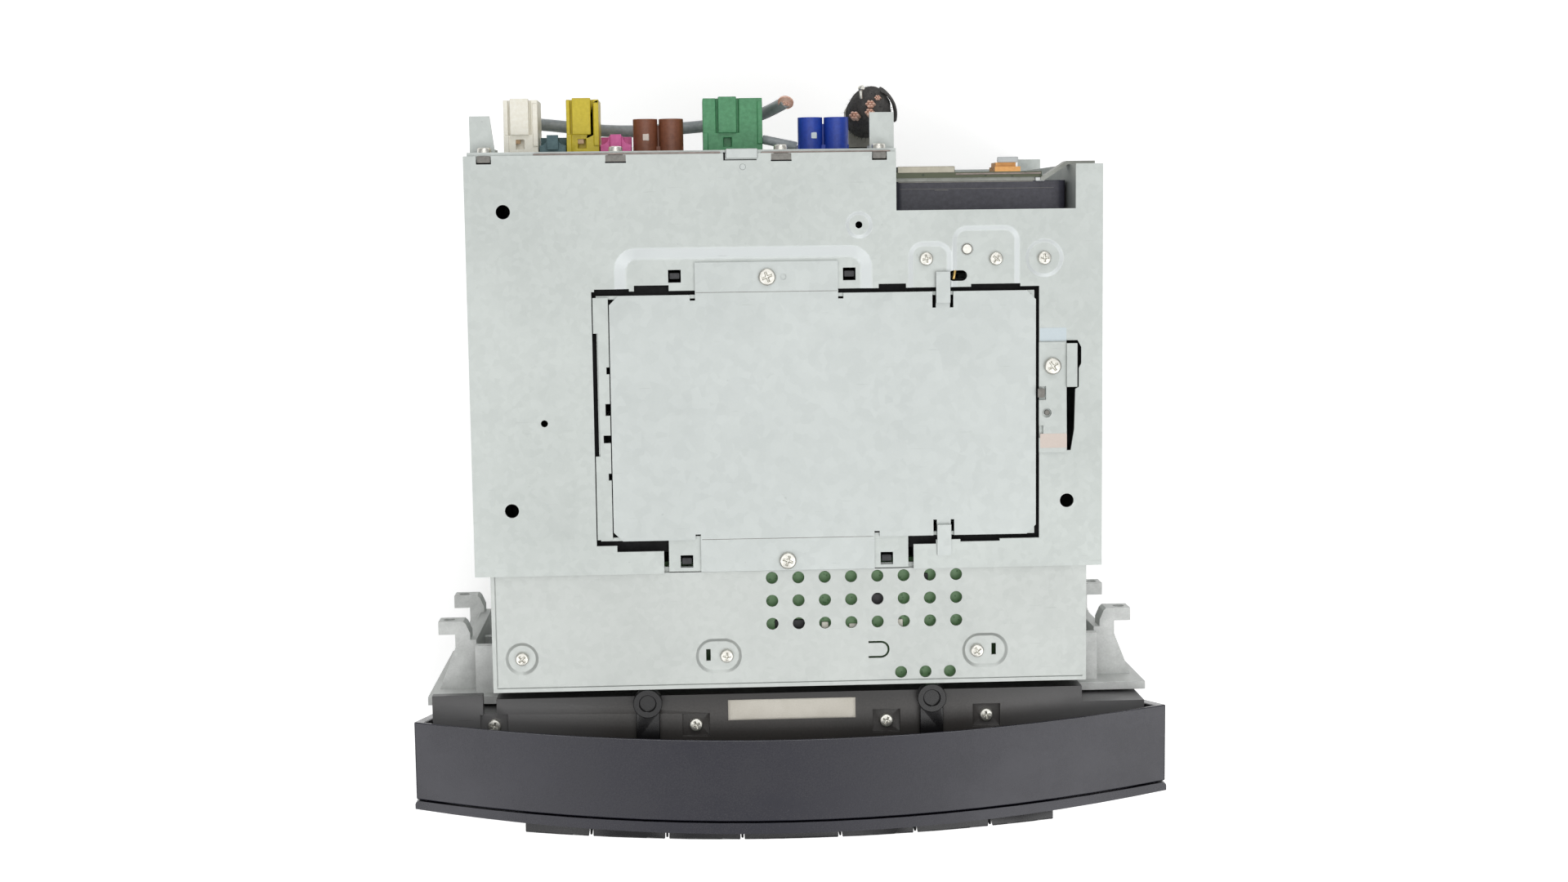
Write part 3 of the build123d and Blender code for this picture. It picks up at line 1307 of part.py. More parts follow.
# Guide rods between two posts, and the laser sled that slides on them
rod_r = 1.5
rod_z = floor_z + 8.0
rod_y = (-10.0, 14.0)
rod_x0 = 24.0
rod_x1 = drive_right - sheet
sled_length = 14.0
with BuildPart() as guide_rods:
    for y in rod_y:
        disc_along_x(rod_x0, rod_x1, (y, rod_z), rod_r)
        block(rod_x0, rod_x0 + 3.0, y - 2.6, y + 2.6, floor_z, rod_z + 2.6)
save(guide_rods, "guide_rods")

sled_x0 = rod_x0 + 3.0 + seat_gap
with BuildPart() as laser_sled:
    block(sled_x0, sled_x0 + sled_length, rod_y[0] - 4.0, rod_y[1] + 4.0, rod_z - 3.2, rod_z + 3.2)
    for y in rod_y:
        disc_along_x(sled_x0, sled_x0 + sled_length, (y, rod_z), rod_r + shaft_clearance, mode=Mode.SUBTRACT)
    with BuildSketch(Plane.XY.offset(rod_z + 3.2)) as lens:
        with Locations((sled_x0 + 5.0, spindle[1])):
            Circle(3.0)
    extrude(lens.sketch, amount=1.6)
save(laser_sled, "laser_sled")

# Power board on the tray's floor, with capacitors and regulators, and the heat sink in the fan's duct
power_z = 6.0
power_x = (-80.0, 26.0)
power_y = (-30.0, 70.0)
stand_r = 2.5
stand_x = (power_x[0] + 5, power_x[1] - 5)
stand_y = (power_y[0] + 5, power_y[1] - 5)
capacitors = [(-66, 54, 6, 20), (-50, 56, 5, 16), (-37, 56, 5, 16), (-66, 36, 4, 12), (-20, 58, 7, 24)]
power_parts = [(-30, 20, 16, 16, 12), (0, 50, 12, 20, 9), (-60, 4, 18, 10, 3), (-10, -10, 14, 14, 2.4),
               (10, 14, 8, 20, 6), (-40, -14, 10, 10, 2.4), (4, 62, 20, 5, 12)]
sink_x = (34.0, 80.0)
sink_y = (41.0, recess_y - sheet - seat_gap)
sink_base = 3.0
sink_high = 56.0
sink_fin = 1.2
sink_pitch = 4.0
with BuildPart() as power_board:
    board_low = power_z + board_thickness
    block(*power_x, *power_y, power_z, board_low)
    with BuildSketch(Plane.XY.offset(sheet)) as stands:
        with Locations(*[(x, y) for x in stand_x for y in stand_y]):
            Circle(stand_r)
    extrude(stands.sketch, amount=power_z - sheet)
    for x, y, radius, height in capacitors:
        with BuildSketch(Plane.XY.offset(board_low)) as can:
            with Locations((x, y)):
                Circle(radius)
        extrude(can.sketch, amount=height)
    for x, y, width, length, height in power_parts:
        block(x - width / 2, x + width / 2, y - length / 2, y + length / 2, board_low,
              board_low + height)
    block(*sink_x, sink_y[0], sink_y[0] + sink_base, sheet, sink_high)
    fins = int((sink_x[1] - sink_x[0] - sink_fin) / sink_pitch) + 1
    for fin in range(fins):
        left = sink_x[0] + fin * sink_pitch
        block(left, left + sink_fin, sink_y[0] + sink_base, sink_y[1], sheet + 4, sink_high)
save(power_board, "power_board")
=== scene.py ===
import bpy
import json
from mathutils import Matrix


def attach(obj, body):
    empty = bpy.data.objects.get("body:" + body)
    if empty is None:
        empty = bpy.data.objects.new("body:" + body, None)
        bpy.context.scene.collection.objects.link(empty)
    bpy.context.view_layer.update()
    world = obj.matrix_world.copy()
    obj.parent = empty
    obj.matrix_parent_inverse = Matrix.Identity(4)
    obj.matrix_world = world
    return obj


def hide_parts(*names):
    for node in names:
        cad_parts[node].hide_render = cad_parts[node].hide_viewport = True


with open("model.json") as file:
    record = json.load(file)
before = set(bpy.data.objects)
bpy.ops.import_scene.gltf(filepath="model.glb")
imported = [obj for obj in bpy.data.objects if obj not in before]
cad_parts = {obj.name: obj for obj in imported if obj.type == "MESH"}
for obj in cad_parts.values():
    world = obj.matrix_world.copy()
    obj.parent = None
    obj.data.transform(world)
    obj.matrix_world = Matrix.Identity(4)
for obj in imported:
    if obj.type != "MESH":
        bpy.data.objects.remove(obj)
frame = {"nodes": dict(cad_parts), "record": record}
"""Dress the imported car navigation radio: finishes, screws, cable, loom, label, marks, light and camera."""

import json
import logging
import math
from dataclasses import dataclass, field
from enum import Enum
from typing import Any, Sequence

import bmesh
import bpy
import numpy as np
from mathutils import Matrix, Vector

MM = 0.001
HOUSING = "housing"
DOUBLE_GAP = 2e-6
LEVEL_Z = 0.9995
SLOPE_Z = 0.5
GOLDEN_ANGLE = 2.39996
HANDLING_CELLS = 45.0
# Angles in degrees and lengths in millimetres of the copies that stand for CAD nodes
SHARP_ANGLE, EASED_SHARP, BEVEL_ANGLE = 40, 28, 35
EASED_FLAT, PRESSED_FLAT = 0.4, 0.3
END_REACH, END_STEPS, UPRIGHT_LENGTH = 0.3, 6, 2
CUT_SHARES = (0.25, 0.75)
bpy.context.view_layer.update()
log = logging.getLogger("radio")

Colour = tuple[float, float, float]
Point = tuple[float, float, float]


class Texture(Enum):
    """Kinds of surface pattern that a finish can carry."""

    ZINC = "zinc"
    CAST = "cast"
    GRAIN = "grain"
    BOARD = "board"
    WRAP = "wrap"
    PAPER = "paper"
    PLAIN = "plain"


@dataclass(frozen=True)
class Finish:
    """One surface finish.

    Args:
        name: Name of the material.
        slot: Slot of the record that the finish belongs to.
        colour: Main colour, linear.
        shade: Second colour that the pattern mixes in, linear.
        roughness: Middle roughness.
        metallic: 1 for bare metal.
        texture: Kind of pattern.
        cells: Pattern cells per metre.
        relief: Height of the pattern's bumps in metres.
        marks: Share of handling marks mixed in.
        coat: Weight of the clear coat.
        painted_shade_band: Y where a painted shadow is darkest and where the full colour is reached, in
            metres, or None; its ends are painted paler as a highlight.
    """

    name: str
    slot: str
    colour: Colour
    shade: Colour
    roughness: float
    metallic: float
    texture: Texture
    cells: float
    relief: float
    marks: float
    coat: float = 0.0
    painted_shade_band: tuple[float, float] | None = None


def srgb(red: int, green: int, blue: int) -> Colour:
    """Turn a display colour of 0 to 255 into a linear one.

    Args:
        red: Red, 0 to 255.
        green: Green, 0 to 255.
        blue: Blue, 0 to 255.

    Returns:
        The linear colour.
    """
    parts = np.array([red, green, blue]) / 255.0
    linear = np.where(parts <= 0.04045, parts / 12.92, ((parts + 0.055) / 1.055) ** 2.4)
    return tuple(float(part) for part in linear)


# Painted shadow colour and painted highlight colour of the carrier's shade band, and painted highlight colour
# of pressed slopes
PAINTED_SHADE_DARK, PAINTED_HIGHLIGHT_PALE, SLOPE_HIGHLIGHT_PALE = srgb(14, 14, 15), srgb(112, 112, 113), srgb(214, 219, 219)
# Metallic of the pressed slopes where their painted highlight is full
SLOPE_HIGHLIGHT_METALLIC = 0.4
# X where the painted shade band turns to a painted highlight at its sides and where that ends, and the
# highlight's share at both
PAINTED_HIGHLIGHT_SIDES = (0.05, 0.1, 0.0, 0.8)
# Share of full colour at the two Y ends of the painted shade band; the rest is painted shadow
PAINTED_SHADE_SHARE = (0.1, 1.0)
DIRT_SHADE, GLOSS_GAIN, GLOSS_LOSS, BUMP_STRENGTH = 0.55, 0.04, 0.06, 0.6
ZINC, CAST, GRAIN, BOARD = Texture.ZINC, Texture.CAST, Texture.GRAIN, Texture.BOARD
WRAP, PAPER, PLAIN = Texture.WRAP, Texture.PAPER, Texture.PLAIN
# Name, slot, colour, shade, roughness, metallic, texture, cells, relief, marks, and coat and painted shade
# band if any
FINISH_ROWS: tuple[tuple[Any, ...], ...] = (
    ("zinc_plate", "zinc_sheet", (190, 195, 192), (181, 186, 183), 0.52, 0.75, ZINC, 620.0, 6e-6, 0.2),
    ("shell_zinc", "zinc_sheet", (189, 193, 190), (181, 185, 182), 0.52, 0.75, ZINC, 620.0, 6e-6, 0.2),
    ("smooth_zinc", "bright_sheet", (190, 195, 193), (182, 187, 185), 0.5, 0.75, ZINC, 420.0, 4e-6, 0.22),
    ("dull_zinc", "dull_sheet", (150, 152, 146), (126, 128, 122), 0.5, 0.7, ZINC, 500.0, 6e-6, 0.35),
    ("die_cast", "cast_alloy", (206, 208, 206), (188, 190, 188), 0.6, 0.4, CAST, 1500.0, 3e-5, 0.3),
    ("bright_screw", "steel_screw", (224, 223, 216), (196, 194, 186), 0.34, 0.85, CAST, 2400.0, 6e-6, 0.2),
    ("fascia_paint", "black_shell", (36, 36, 46), (31, 31, 40), 0.25, 0.0, GRAIN, 5200.0, 1.2e-5, 0.08),
    # The carrier is painted darker towards the front shell as a painted shadow of its overhang, and paler at
    # both ends as a painted highlight
    ("carrier_black", "black_shell", (62, 59, 57), (50, 48, 46), 0.34, 0.0, GRAIN, 3000.0, 4e-6, 0.3, 0.0,
     (-0.0765, -0.0845)),
    ("peg_black", "black_gloss", (20, 19, 21), (12, 12, 13), 0.3, 0.0, GRAIN, 2600.0, 1e-5, 0.15),
    ("panel_black", "black_gloss", (34, 34, 37), (26, 26, 29), 0.34, 0.0, GRAIN, 4200.0, 8e-6, 0.08),
    ("key_plastic", "key_black", (28, 28, 31), (22, 22, 25), 0.26, 0.0, GRAIN, 4600.0, 8e-6, 0.08),
    ("knob_plastic", "black_gloss", (44, 44, 48), (34, 34, 37), 0.3, 0.0, GRAIN, 4200.0, 8e-6, 0.1, 0.2),
    ("screen_dark", "display_dark", (16, 20, 24), (12, 15, 18), 0.25, 0.0, PLAIN, 900.0, 0.0, 0.05),
    ("mat_rubber", "grey_rubber", (96, 96, 98), (84, 84, 86), 0.75, 0.0, GRAIN, 2200.0, 2e-5, 0.2),
    ("roller_rubber", "grey_rubber", (64, 64, 66), (52, 52, 54), 0.8, 0.0, GRAIN, 2200.0, 3e-5, 0.25),
    ("green_mask", "green_board", (112, 152, 104), (84, 124, 80), 0.4, 0.0, BOARD, 760.0, 3e-5, 0.15),
    ("dark_mask", "dark_board", (70, 76, 52), (48, 56, 38), 0.42, 0.0, BOARD, 520.0, 3e-5, 0.15),
    ("shell_black", "black_shell", (34, 34, 36), (26, 26, 28), 0.5, 0.0, GRAIN, 2000.0, 2e-5, 0.15),
    ("plug_grey", "cream_plastic", (168, 166, 156), (150, 148, 138), 0.5, 0.0, GRAIN, 1800.0, 1e-5, 0.2),
    ("cable_sheath", "grey_cord", (148, 154, 156), (126, 132, 134), 0.38, 0.0, GRAIN, 1400.0, 2e-5, 0.3),
    ("cloth_tape", "tape_black", (84, 82, 80), (34, 34, 35), 0.95, 0.0, WRAP, 900.0, 4e-4, 0.4),
    ("bare_copper", "brass_gear", (236, 204, 188), (190, 142, 118), 0.45, 0.3, CAST, 2600.0, 1e-5, 0.3),
    ("white_nylon", "gear_white", (224, 224, 218), (212, 212, 204), 0.45, 0.0, GRAIN, 1600.0, 1e-5, 0.12),
    ("cut_brass", "brass_gear", (206, 176, 112), (184, 152, 92), 0.32, 1.0, CAST, 2400.0, 8e-6, 0.15),
    ("motor_can", "motor_steel", (176, 178, 178), (156, 158, 158), 0.38, 1.0, ZINC, 500.0, 4e-6, 0.2),
    ("fan_plastic", "fan_black", (58, 57, 68), (42, 42, 51), 0.36, 0.0, GRAIN, 1500.0, 1e-5, 0.35),
    ("can_tin", "dull_sheet", (176, 172, 158), (156, 152, 138), 0.42, 0.8, ZINC, 700.0, 5e-6, 0.2),
    ("label_paper", "label_paper", (206, 202, 192), (190, 185, 174), 0.7, 0.0, PAPER, 2400.0, 8e-6, 0.2),
    ("mark_white", "mark_white", (214, 216, 216), (206, 208, 208), 0.5, 0.0, PLAIN, 1200.0, 0.0, 0.05),
    ("tape_peach", "label_paper", (208, 196, 187), (200, 187, 178), 0.6, 0.0, PAPER, 900.0, 1e-5, 0.1),
    ("tape_blue", "label_paper", (197, 208, 212), (190, 201, 206), 0.55, 0.0, PAPER, 900.0, 1e-5, 0.1),
    ("clip_beige", "cream_plastic", (196, 168, 132), (160, 130, 96), 0.5, 0.0, GRAIN, 1800.0, 1e-5, 0.1),
    ("part_grey", "motor_steel", (128, 126, 120), (104, 102, 98), 0.5, 0.0, GRAIN, 1800.0, 1e-5, 0.2),
    ("sheet_edge", "dull_sheet", (150, 138, 132), (120, 110, 104), 0.5, 0.3, GRAIN, 900.0, 1e-5, 0.2),
    ("clear_jacket", "cream_plastic", (176, 180, 180), (158, 162, 162), 0.3, 0.0, GRAIN, 1800.0, 1e-5, 0.1),
    # Flat black of the key webs, also used for the painted shadows in the hatch gap and the rear notches
    ("seal_black", "tape_black", (14, 14, 16), (8, 8, 9), 0.9, 0.0, GRAIN, 1500.0, 2e-5, 0.1),
    *((f"{hue}_nylon", f"{hue}_plastic", colour, shade, roughness, 0.0, GRAIN, 1800.0, 1e-5, 0.12)
      for hue, colour, shade, roughness in (
          ("cream", (231, 229, 219), (222, 218, 204), 0.45), ("yellow", (196, 177, 38), (181, 162, 28), 0.42),
          ("green", (76, 142, 98), (62, 122, 82), 0.42), ("teal", (78, 108, 112), (62, 90, 96), 0.42),
          ("pink", (206, 92, 152), (186, 76, 132), 0.42), ("brown", (118, 70, 48), (98, 56, 38), 0.42),
          ("blue", (26, 62, 160), (22, 50, 138), 0.42), ("orange", (216, 158, 88), (196, 138, 72), 0.5))),
)
FINISHES: dict[str, Finish] = {name: Finish(name, slot, srgb(*colour), srgb(*shade), *rest)
                               for name, slot, colour, shade, *rest in FINISH_ROWS}

NODE_FINISH: dict[str, str] = {
    "upper_cover": "zinc_plate", "front_shell": "shell_zinc", "chassis_tray": "zinc_plate",
    "rear_panel": "zinc_plate", "drive_cover": "smooth_zinc", "drive_strip": "zinc_plate",
    "drive_bracket": "zinc_plate", "drive_frame": "zinc_plate", "fan_bracket": "dull_zinc",
    "left_bracket": "die_cast", "right_bracket": "die_cast", "fascia_frame": "fascia_paint",
    "front_bezel": "fascia_paint", "front_panel": "panel_black", "display_module": "screen_dark",
    "key_mat": "mat_rubber", "key_board": "green_mask", "encoders": "motor_can",
    "volume_knob": "knob_plastic", "tuning_knob": "knob_plastic", "carrier": "carrier_black",
    "locating_pegs": "peg_black", "fan_frame": "fan_plastic", "fan_rotor": "fan_plastic",
    "fan_board": "dark_mask", "fan_connector": "orange_nylon", "cream_coupler": "cream_nylon",
    "yellow_coupler": "yellow_nylon", "green_coupler": "green_nylon", "teal_socket": "teal_nylon",
    "pink_socket": "pink_nylon", "brown_jacks": "brown_nylon", "blue_jacks": "blue_nylon",
    "main_socket": "shell_black", "loom_plug": "plug_grey", "main_board": "green_mask",
    "power_board": "dark_mask", "load_roller": "roller_rubber", "idler_gear": "white_nylon",
    "motor_pinion": "cut_brass", "drive_motors": "motor_can", "turntable": "panel_black",
    "guide_rods": "bright_screw", "laser_sled": "die_cast",
}
TOP_KEYS = [f"top_key_{number}" for number in range(1, 8)]
SIDE_KEYS = [f"side_key_{number}" for number in range(1, 5)]
NODE_FINISH.update({key: "key_plastic" for key in TOP_KEYS + SIDE_KEYS})


class Graph:
    """Short-hand for adding and linking shader nodes in one node tree."""

    def __init__(self, tree: bpy.types.NodeTree) -> None:
        """Keep the tree that the nodes go into."""
        self.tree = tree

    def fill(self, socket: bpy.types.NodeSocket, value: Any) -> None:
        """Link an input to an output socket, or set it to a plain value.

        Args:
            socket: The input.
            value: A plain value or an output socket.
        """
        if isinstance(value, bpy.types.NodeSocket):
            self.tree.links.new(value, socket)
        else:
            socket.default_value = value

    def add(self, kind: str, inputs: dict[Any, Any] | None = None, **settings: Any) -> bpy.types.Node:
        """Add a node, set its fields, and fill or link its inputs.

        Args:
            kind: Blender's name of the node type.
            inputs: Input name or number to a plain value or an output socket.
            settings: Fields of the node itself.

        Returns:
            The new node.
        """
        made = self.tree.nodes.new(kind)
        for key, value in settings.items():
            setattr(made, key, value)
        for key, value in (inputs or {}).items():
            self.fill(made.inputs[key], value)
        return made

    def math(self, operation: str, first: Any, second: Any = 0.0) -> bpy.types.NodeSocket:
        """Add a Math node and return its result."""
        return self.add("ShaderNodeMath", {0: first, 1: second}, operation=operation).outputs[0]

    def scaled(self, value: Any, factor: float) -> bpy.types.NodeSocket:
        """Multiply a value by a factor and return the product."""
        return self.math("MULTIPLY", value, factor)

    def blend(self, first: Any, first_share: float, second: Any, second_share: float) -> bpy.types.NodeSocket:
        """Add two values, each times its share, and return the sum."""
        return self.math("ADD", self.scaled(first, first_share), self.scaled(second, second_share))

    def remap(self, value: Any, low: float, high: float, to_low: float = 0.0,
              to_high: float = 1.0) -> bpy.types.NodeSocket:
        """Map a value from one range onto another, clamped, and return the result."""
        return self.add("ShaderNodeMapRange", {0: value, 1: low, 2: high, 3: to_low, 4: to_high}).outputs[0]

    def mix(self, share: Any, first: Any, second: Any) -> bpy.types.NodeSocket:
        """Mix two colours by a share.

        Args:
            share: Share of the second colour.
            first: First colour or its socket.
            second: Second colour or its socket.

        Returns:
            The mixed colour.
        """
        made = self.add("ShaderNodeMix", {0: share}, data_type="RGBA")
        for key, value in ((6, first), (7, second)):
            self.fill(made.inputs[key], value if isinstance(value, bpy.types.NodeSocket) else (*value, 1.0))
        return made.outputs[2]

    def noise(self, where: Any, scale: Any, detail: float, roughness: float = 0.55) -> bpy.types.NodeSocket:
        """Add a noise texture and return its value."""
        return self.add("ShaderNodeTexNoise", {"Vector": where, "Scale": scale, "Detail": detail,
                                               "Roughness": roughness}).outputs[0]


class PatternGroups:
    """Node groups for surface patterns that several finishes share, each built once."""

    def __init__(self) -> None:
        """Start with no groups built."""
        self.built: dict[str, bpy.types.NodeTree] = {}

    def get(self, kind: str) -> bpy.types.NodeTree:
        """Return a group, building it the first time.

        Args:
            kind: Value of a texture, or "handling".

        Returns:
            The node group.
        """
        if kind not in self.built:
            self.built[kind] = getattr(self, f"_{kind}")()
        return self.built[kind]

    @staticmethod
    def start(name: str) -> tuple[Graph, bpy.types.NodeSocket, bpy.types.NodeSocket]:
        """Make an empty group with Vector and Cells in, and Mask and Height out.

        Args:
            name: Name of the group.

        Returns:
            The graph, its Vector and its Cells.
        """
        tree = bpy.data.node_groups.new(name, "ShaderNodeTree")
        for key, way, kind in (("Vector", "INPUT", "Vector"), ("Cells", "INPUT", "Float"),
                               ("Mask", "OUTPUT", "Float"), ("Height", "OUTPUT", "Float")):
            tree.interface.new_socket(key, in_out=way, socket_type=f"NodeSocket{kind}")
        graph = Graph(tree)
        given = graph.add("NodeGroupInput")
        return graph, given.outputs["Vector"], given.outputs["Cells"]

    @staticmethod
    def finish(graph: Graph, mask: Any, height: Any) -> bpy.types.NodeTree:
        """Send the mask and the height out of the group and return the group."""
        graph.add("NodeGroupOutput", {"Mask": mask, "Height": height})
        return graph.tree

    def _zinc(self) -> bpy.types.NodeTree:
        """Zinc plating: flat crystals of two sizes under a fine speckle.

        Returns:
            The group.
        """
        graph, where, cells = self.start("zinc_mottle")
        crystal = graph.add("ShaderNodeTexVoronoi", {"Vector": where, "Scale": cells}, feature="F1")
        tone = graph.add("ShaderNodeSeparateColor", {0: crystal.outputs["Color"]}).outputs[0]
        speck = graph.noise(where, graph.scaled(cells, 3.1), 3.0, 0.7)
        cloud = graph.remap(graph.noise(where, graph.scaled(cells, 0.045), 4.0), 0.35, 0.65)
        mask = graph.math("ADD", graph.blend(tone, 0.34, speck, 0.36), graph.scaled(cloud, 0.34))
        return self.finish(graph, mask, graph.math("ADD", speck, graph.scaled(tone, 0.4)))

    def _cast(self) -> bpy.types.NodeTree:
        """Die-cast skin: soft pits with flow streaks along Z.

        Returns:
            The group.
        """
        graph, where, cells = self.start("cast_skin")
        pits = graph.noise(where, cells, 6.0, 0.7)
        long = graph.add("ShaderNodeMapping", {"Vector": where, "Scale": (1.0, 1.0, 0.12)}).outputs[0]
        flow = graph.noise(long, graph.scaled(cells, 0.2), 3.0)
        return self.finish(graph, graph.remap(graph.blend(pits, 0.5, flow, 0.5), 0.35, 0.65), pits)

    def _grain(self) -> bpy.types.NodeTree:
        """Moulded or painted grain: close rounded bumps over a faint cloud.

        Returns:
            The group.
        """
        graph, where, cells = self.start("moulded_grain")
        bump = graph.add("ShaderNodeTexVoronoi", {"Vector": where, "Scale": cells}, feature="SMOOTH_F1")
        fine = graph.noise(where, graph.scaled(cells, 0.5), 3.0, 0.65)
        cloud = graph.noise(where, graph.scaled(cells, 0.012), 3.0)
        height = graph.math("ADD", graph.scaled(bump.outputs["Distance"], 0.5), fine)
        return self.finish(graph, graph.remap(graph.blend(fine, 0.55, cloud, 0.45), 0.38, 0.62), height)

    def _board(self) -> bpy.types.NodeTree:
        """Circuit board: copper tracks in steps under the mask, and small tinned pads.

        Returns:
            The group.
        """
        graph, where, cells = self.start("board_tracks")
        turned = graph.add("ShaderNodeMapping", {"Vector": where, "Rotation": (0.0, 0.0, 0.785)}).outputs[0]
        tracks = graph.add("ShaderNodeTexBrick", {
            "Vector": turned, "Scale": graph.scaled(cells, 0.5), "Mortar Size": 0.12, "Brick Width": 2.4,
            "Row Height": 0.22, "Color1": (1, 1, 1, 1), "Color2": (0.6, 0.6, 0.6, 1), "Mortar": (0, 0, 0, 1)})
        line = graph.add("ShaderNodeSeparateColor", {0: tracks.outputs["Color"]}).outputs[0]
        pads = graph.add("ShaderNodeTexVoronoi", {"Vector": where, "Scale": cells}, feature="F1",
                         distance="CHEBYCHEV")
        pad = graph.remap(pads.outputs["Distance"], 0.16, 0.19, 1.0, 0.0)
        return self.finish(graph, graph.math("MAXIMUM", graph.scaled(line, 0.8), pad),
                           graph.math("ADD", line, pad))

    def _wrap(self) -> bpy.types.NodeTree:
        """Fleece tape: tangled fibres with light lint.

        Returns:
            The group.
        """
        graph, where, cells = self.start("fleece_tape")
        fibres = graph.noise(where, cells, 8.0, 0.85)
        lint = graph.remap(graph.noise(where, graph.scaled(cells, 2.3), 2.0), 0.6, 0.72)
        mask = graph.math("MAXIMUM", graph.remap(fibres, 0.3, 0.7, 0.8, 0.0), lint)
        return self.finish(graph, mask, fibres)

    def _paper(self) -> bpy.types.NodeTree:
        """Paper: short fibres and a slight yellowing.

        Returns:
            The group.
        """
        graph, where, cells = self.start("paper_fibre")
        fibres = graph.noise(where, cells, 5.0, 0.75)
        aged = graph.noise(where, graph.scaled(cells, 0.04), 2.0)
        return self.finish(graph, graph.remap(graph.blend(fibres, 0.4, aged, 0.6), 0.35, 0.65), fibres)

    def _plain(self) -> bpy.types.NodeTree:
        """Plain sheet or ink: only a faint cloud.

        Returns:
            The group.
        """
        graph, where, cells = self.start("faint_cloud")
        cloud = graph.noise(where, cells, 2.0)
        return self.finish(graph, cloud, cloud)

    def _handling(self) -> bpy.types.NodeTree:
        """Handling marks: smudges, specks and hairline scratches.

        Returns:
            The group.
        """
        graph, where, cells = self.start("handling_marks")
        smudge = graph.remap(graph.noise(where, cells, 3.0), 0.56, 0.74)
        long = graph.add("ShaderNodeMapping", {"Vector": where, "Rotation": (0.3, 0.5, 0.9),
                                               "Scale": (1.0, 24.0, 1.0)}).outputs[0]
        scratch = graph.remap(graph.noise(long, graph.scaled(cells, 2.0), 2.0), 0.73, 0.75)
        speck = graph.remap(graph.noise(where, graph.scaled(cells, 11.0), 1.0), 0.79, 0.82)
        mask = graph.math("MAXIMUM", graph.scaled(smudge, 0.5), graph.math("MAXIMUM", scratch, speck))
        return self.finish(graph, mask, graph.scaled(scratch, -1.0))


def new_material(name: str) -> tuple[bpy.types.Material, Graph, bpy.types.Node, bpy.types.NodeSocket]:
    """Start a material.

    Args:
        name: Name of the material.

    Returns:
        The material, its graph, its Principled shader and its Object coordinates.
    """
    material = bpy.data.materials.new(name)
    material.use_nodes = True
    graph = Graph(material.node_tree)
    where = graph.add("ShaderNodeTexCoord").outputs["Object"]
    return material, graph, material.node_tree.nodes["Principled BSDF"], where


class MaterialShop:
    """Makes each finish's material once and hands it out."""

    def __init__(self) -> None:
        """Start with shared pattern groups and no materials."""
        self.groups = PatternGroups()
        self.made: dict[str, bpy.types.Material] = {}

    def get(self, name: str) -> bpy.types.Material:
        """Return the material of a finish, building it the first time.

        Args:
            name: Name of the finish.

        Returns:
            The material.
        """
        if name not in self.made:
            self.made[name] = self.build(FINISHES[name])
        return self.made[name]

    def build(self, finish: Finish) -> bpy.types.Material:
        """Build a material: pattern and marks feed colour, roughness and bump, and painted shadow and painted
        highlight feed colour where given.

        Args:
            finish: The finish.

        Returns:
            The new material.
        """
        material, graph, shader, where = new_material(finish.name)
        pattern, wear = (
            graph.add("ShaderNodeGroup", {"Vector": where, "Cells": cells}, node_tree=self.groups.get(kind))
            for kind, cells in ((finish.texture.value, finish.cells), ("handling", HANDLING_CELLS)))
        mask = pattern.outputs["Mask"]
        base = graph.mix(mask, finish.colour, finish.shade)
        # Painted shadow towards one Y edge, with painted highlights towards both X ends
        if finish.painted_shade_band:
            place = graph.add("ShaderNodeSeparateXYZ", {0: where})
            out = graph.remap(graph.math("ABSOLUTE", place.outputs["X"]), *PAINTED_HIGHLIGHT_SIDES)
            painted_shadow_share = graph.remap(place.outputs["Y"], *finish.painted_shade_band, *PAINTED_SHADE_SHARE)
            base = graph.mix(painted_shadow_share, PAINTED_SHADE_DARK, graph.mix(out, base, PAINTED_HIGHLIGHT_PALE))
        # Pressed slopes are painted paler and less metallic as a painted highlight
        if finish.texture is ZINC:
            slope_highlight = graph.add("ShaderNodeAttribute", attribute_name="slope_highlight").outputs["Fac"]
            base = graph.mix(slope_highlight, base, SLOPE_HIGHLIGHT_PALE)
            metallic = graph.remap(slope_highlight, 0.0, 1.0, finish.metallic, SLOPE_HIGHLIGHT_METALLIC)
            graph.fill(shader.inputs["Metallic"], metallic)
        else:
            shader.inputs["Metallic"].default_value = finish.metallic
        dirt = tuple(DIRT_SHADE * part for part in finish.shade)
        wear_and_highlight = graph.scaled(wear.outputs["Mask"], finish.marks)
        graph.fill(shader.inputs["Base Color"], graph.mix(wear_and_highlight, base, dirt))
        low, high = finish.roughness - GLOSS_GAIN, finish.roughness + GLOSS_LOSS
        graph.fill(shader.inputs["Roughness"], graph.remap(mask, 0.0, 1.0, low, high))
        if finish.relief > 0:
            bump = graph.add("ShaderNodeBump", {
                "Height": pattern.outputs["Height"], "Strength": BUMP_STRENGTH, "Distance": finish.relief})
            graph.fill(shader.inputs["Normal"], bump.outputs[0])
        shader.inputs["Coat Weight"].default_value = finish.coat
        return material

    @staticmethod
    def lens() -> bpy.types.Material:
        """Smoked clear plastic of the display's lens, with faint dust in its gloss.

        Returns:
            The new material.
        """
        material, graph, shader, where = new_material("smoked_lens")
        dust = graph.noise(where, 260.0, 5.0, 0.7)
        graph.fill(shader.inputs["Roughness"], graph.remap(dust, 0.45, 0.8, 0.04, 0.22))
        graph.fill(shader.inputs["Base Color"], graph.mix(dust, srgb(58, 62, 68), srgb(50, 54, 60)))
        shader.inputs["Transmission Weight"].default_value = 0.85
        shader.inputs["IOR"].default_value = 1.49
        return material


def placed(name: str, data: bpy.types.ID) -> bpy.types.Object:
    """Make an object at the origin and put it into the scene.

    Args:
        name: Name of the object.
        data: Its mesh, curve, lamp or camera.

    Returns:
        The new object.
    """
    piece = bpy.data.objects.new(name, data)
    bpy.context.scene.collection.objects.link(piece)
    return piece


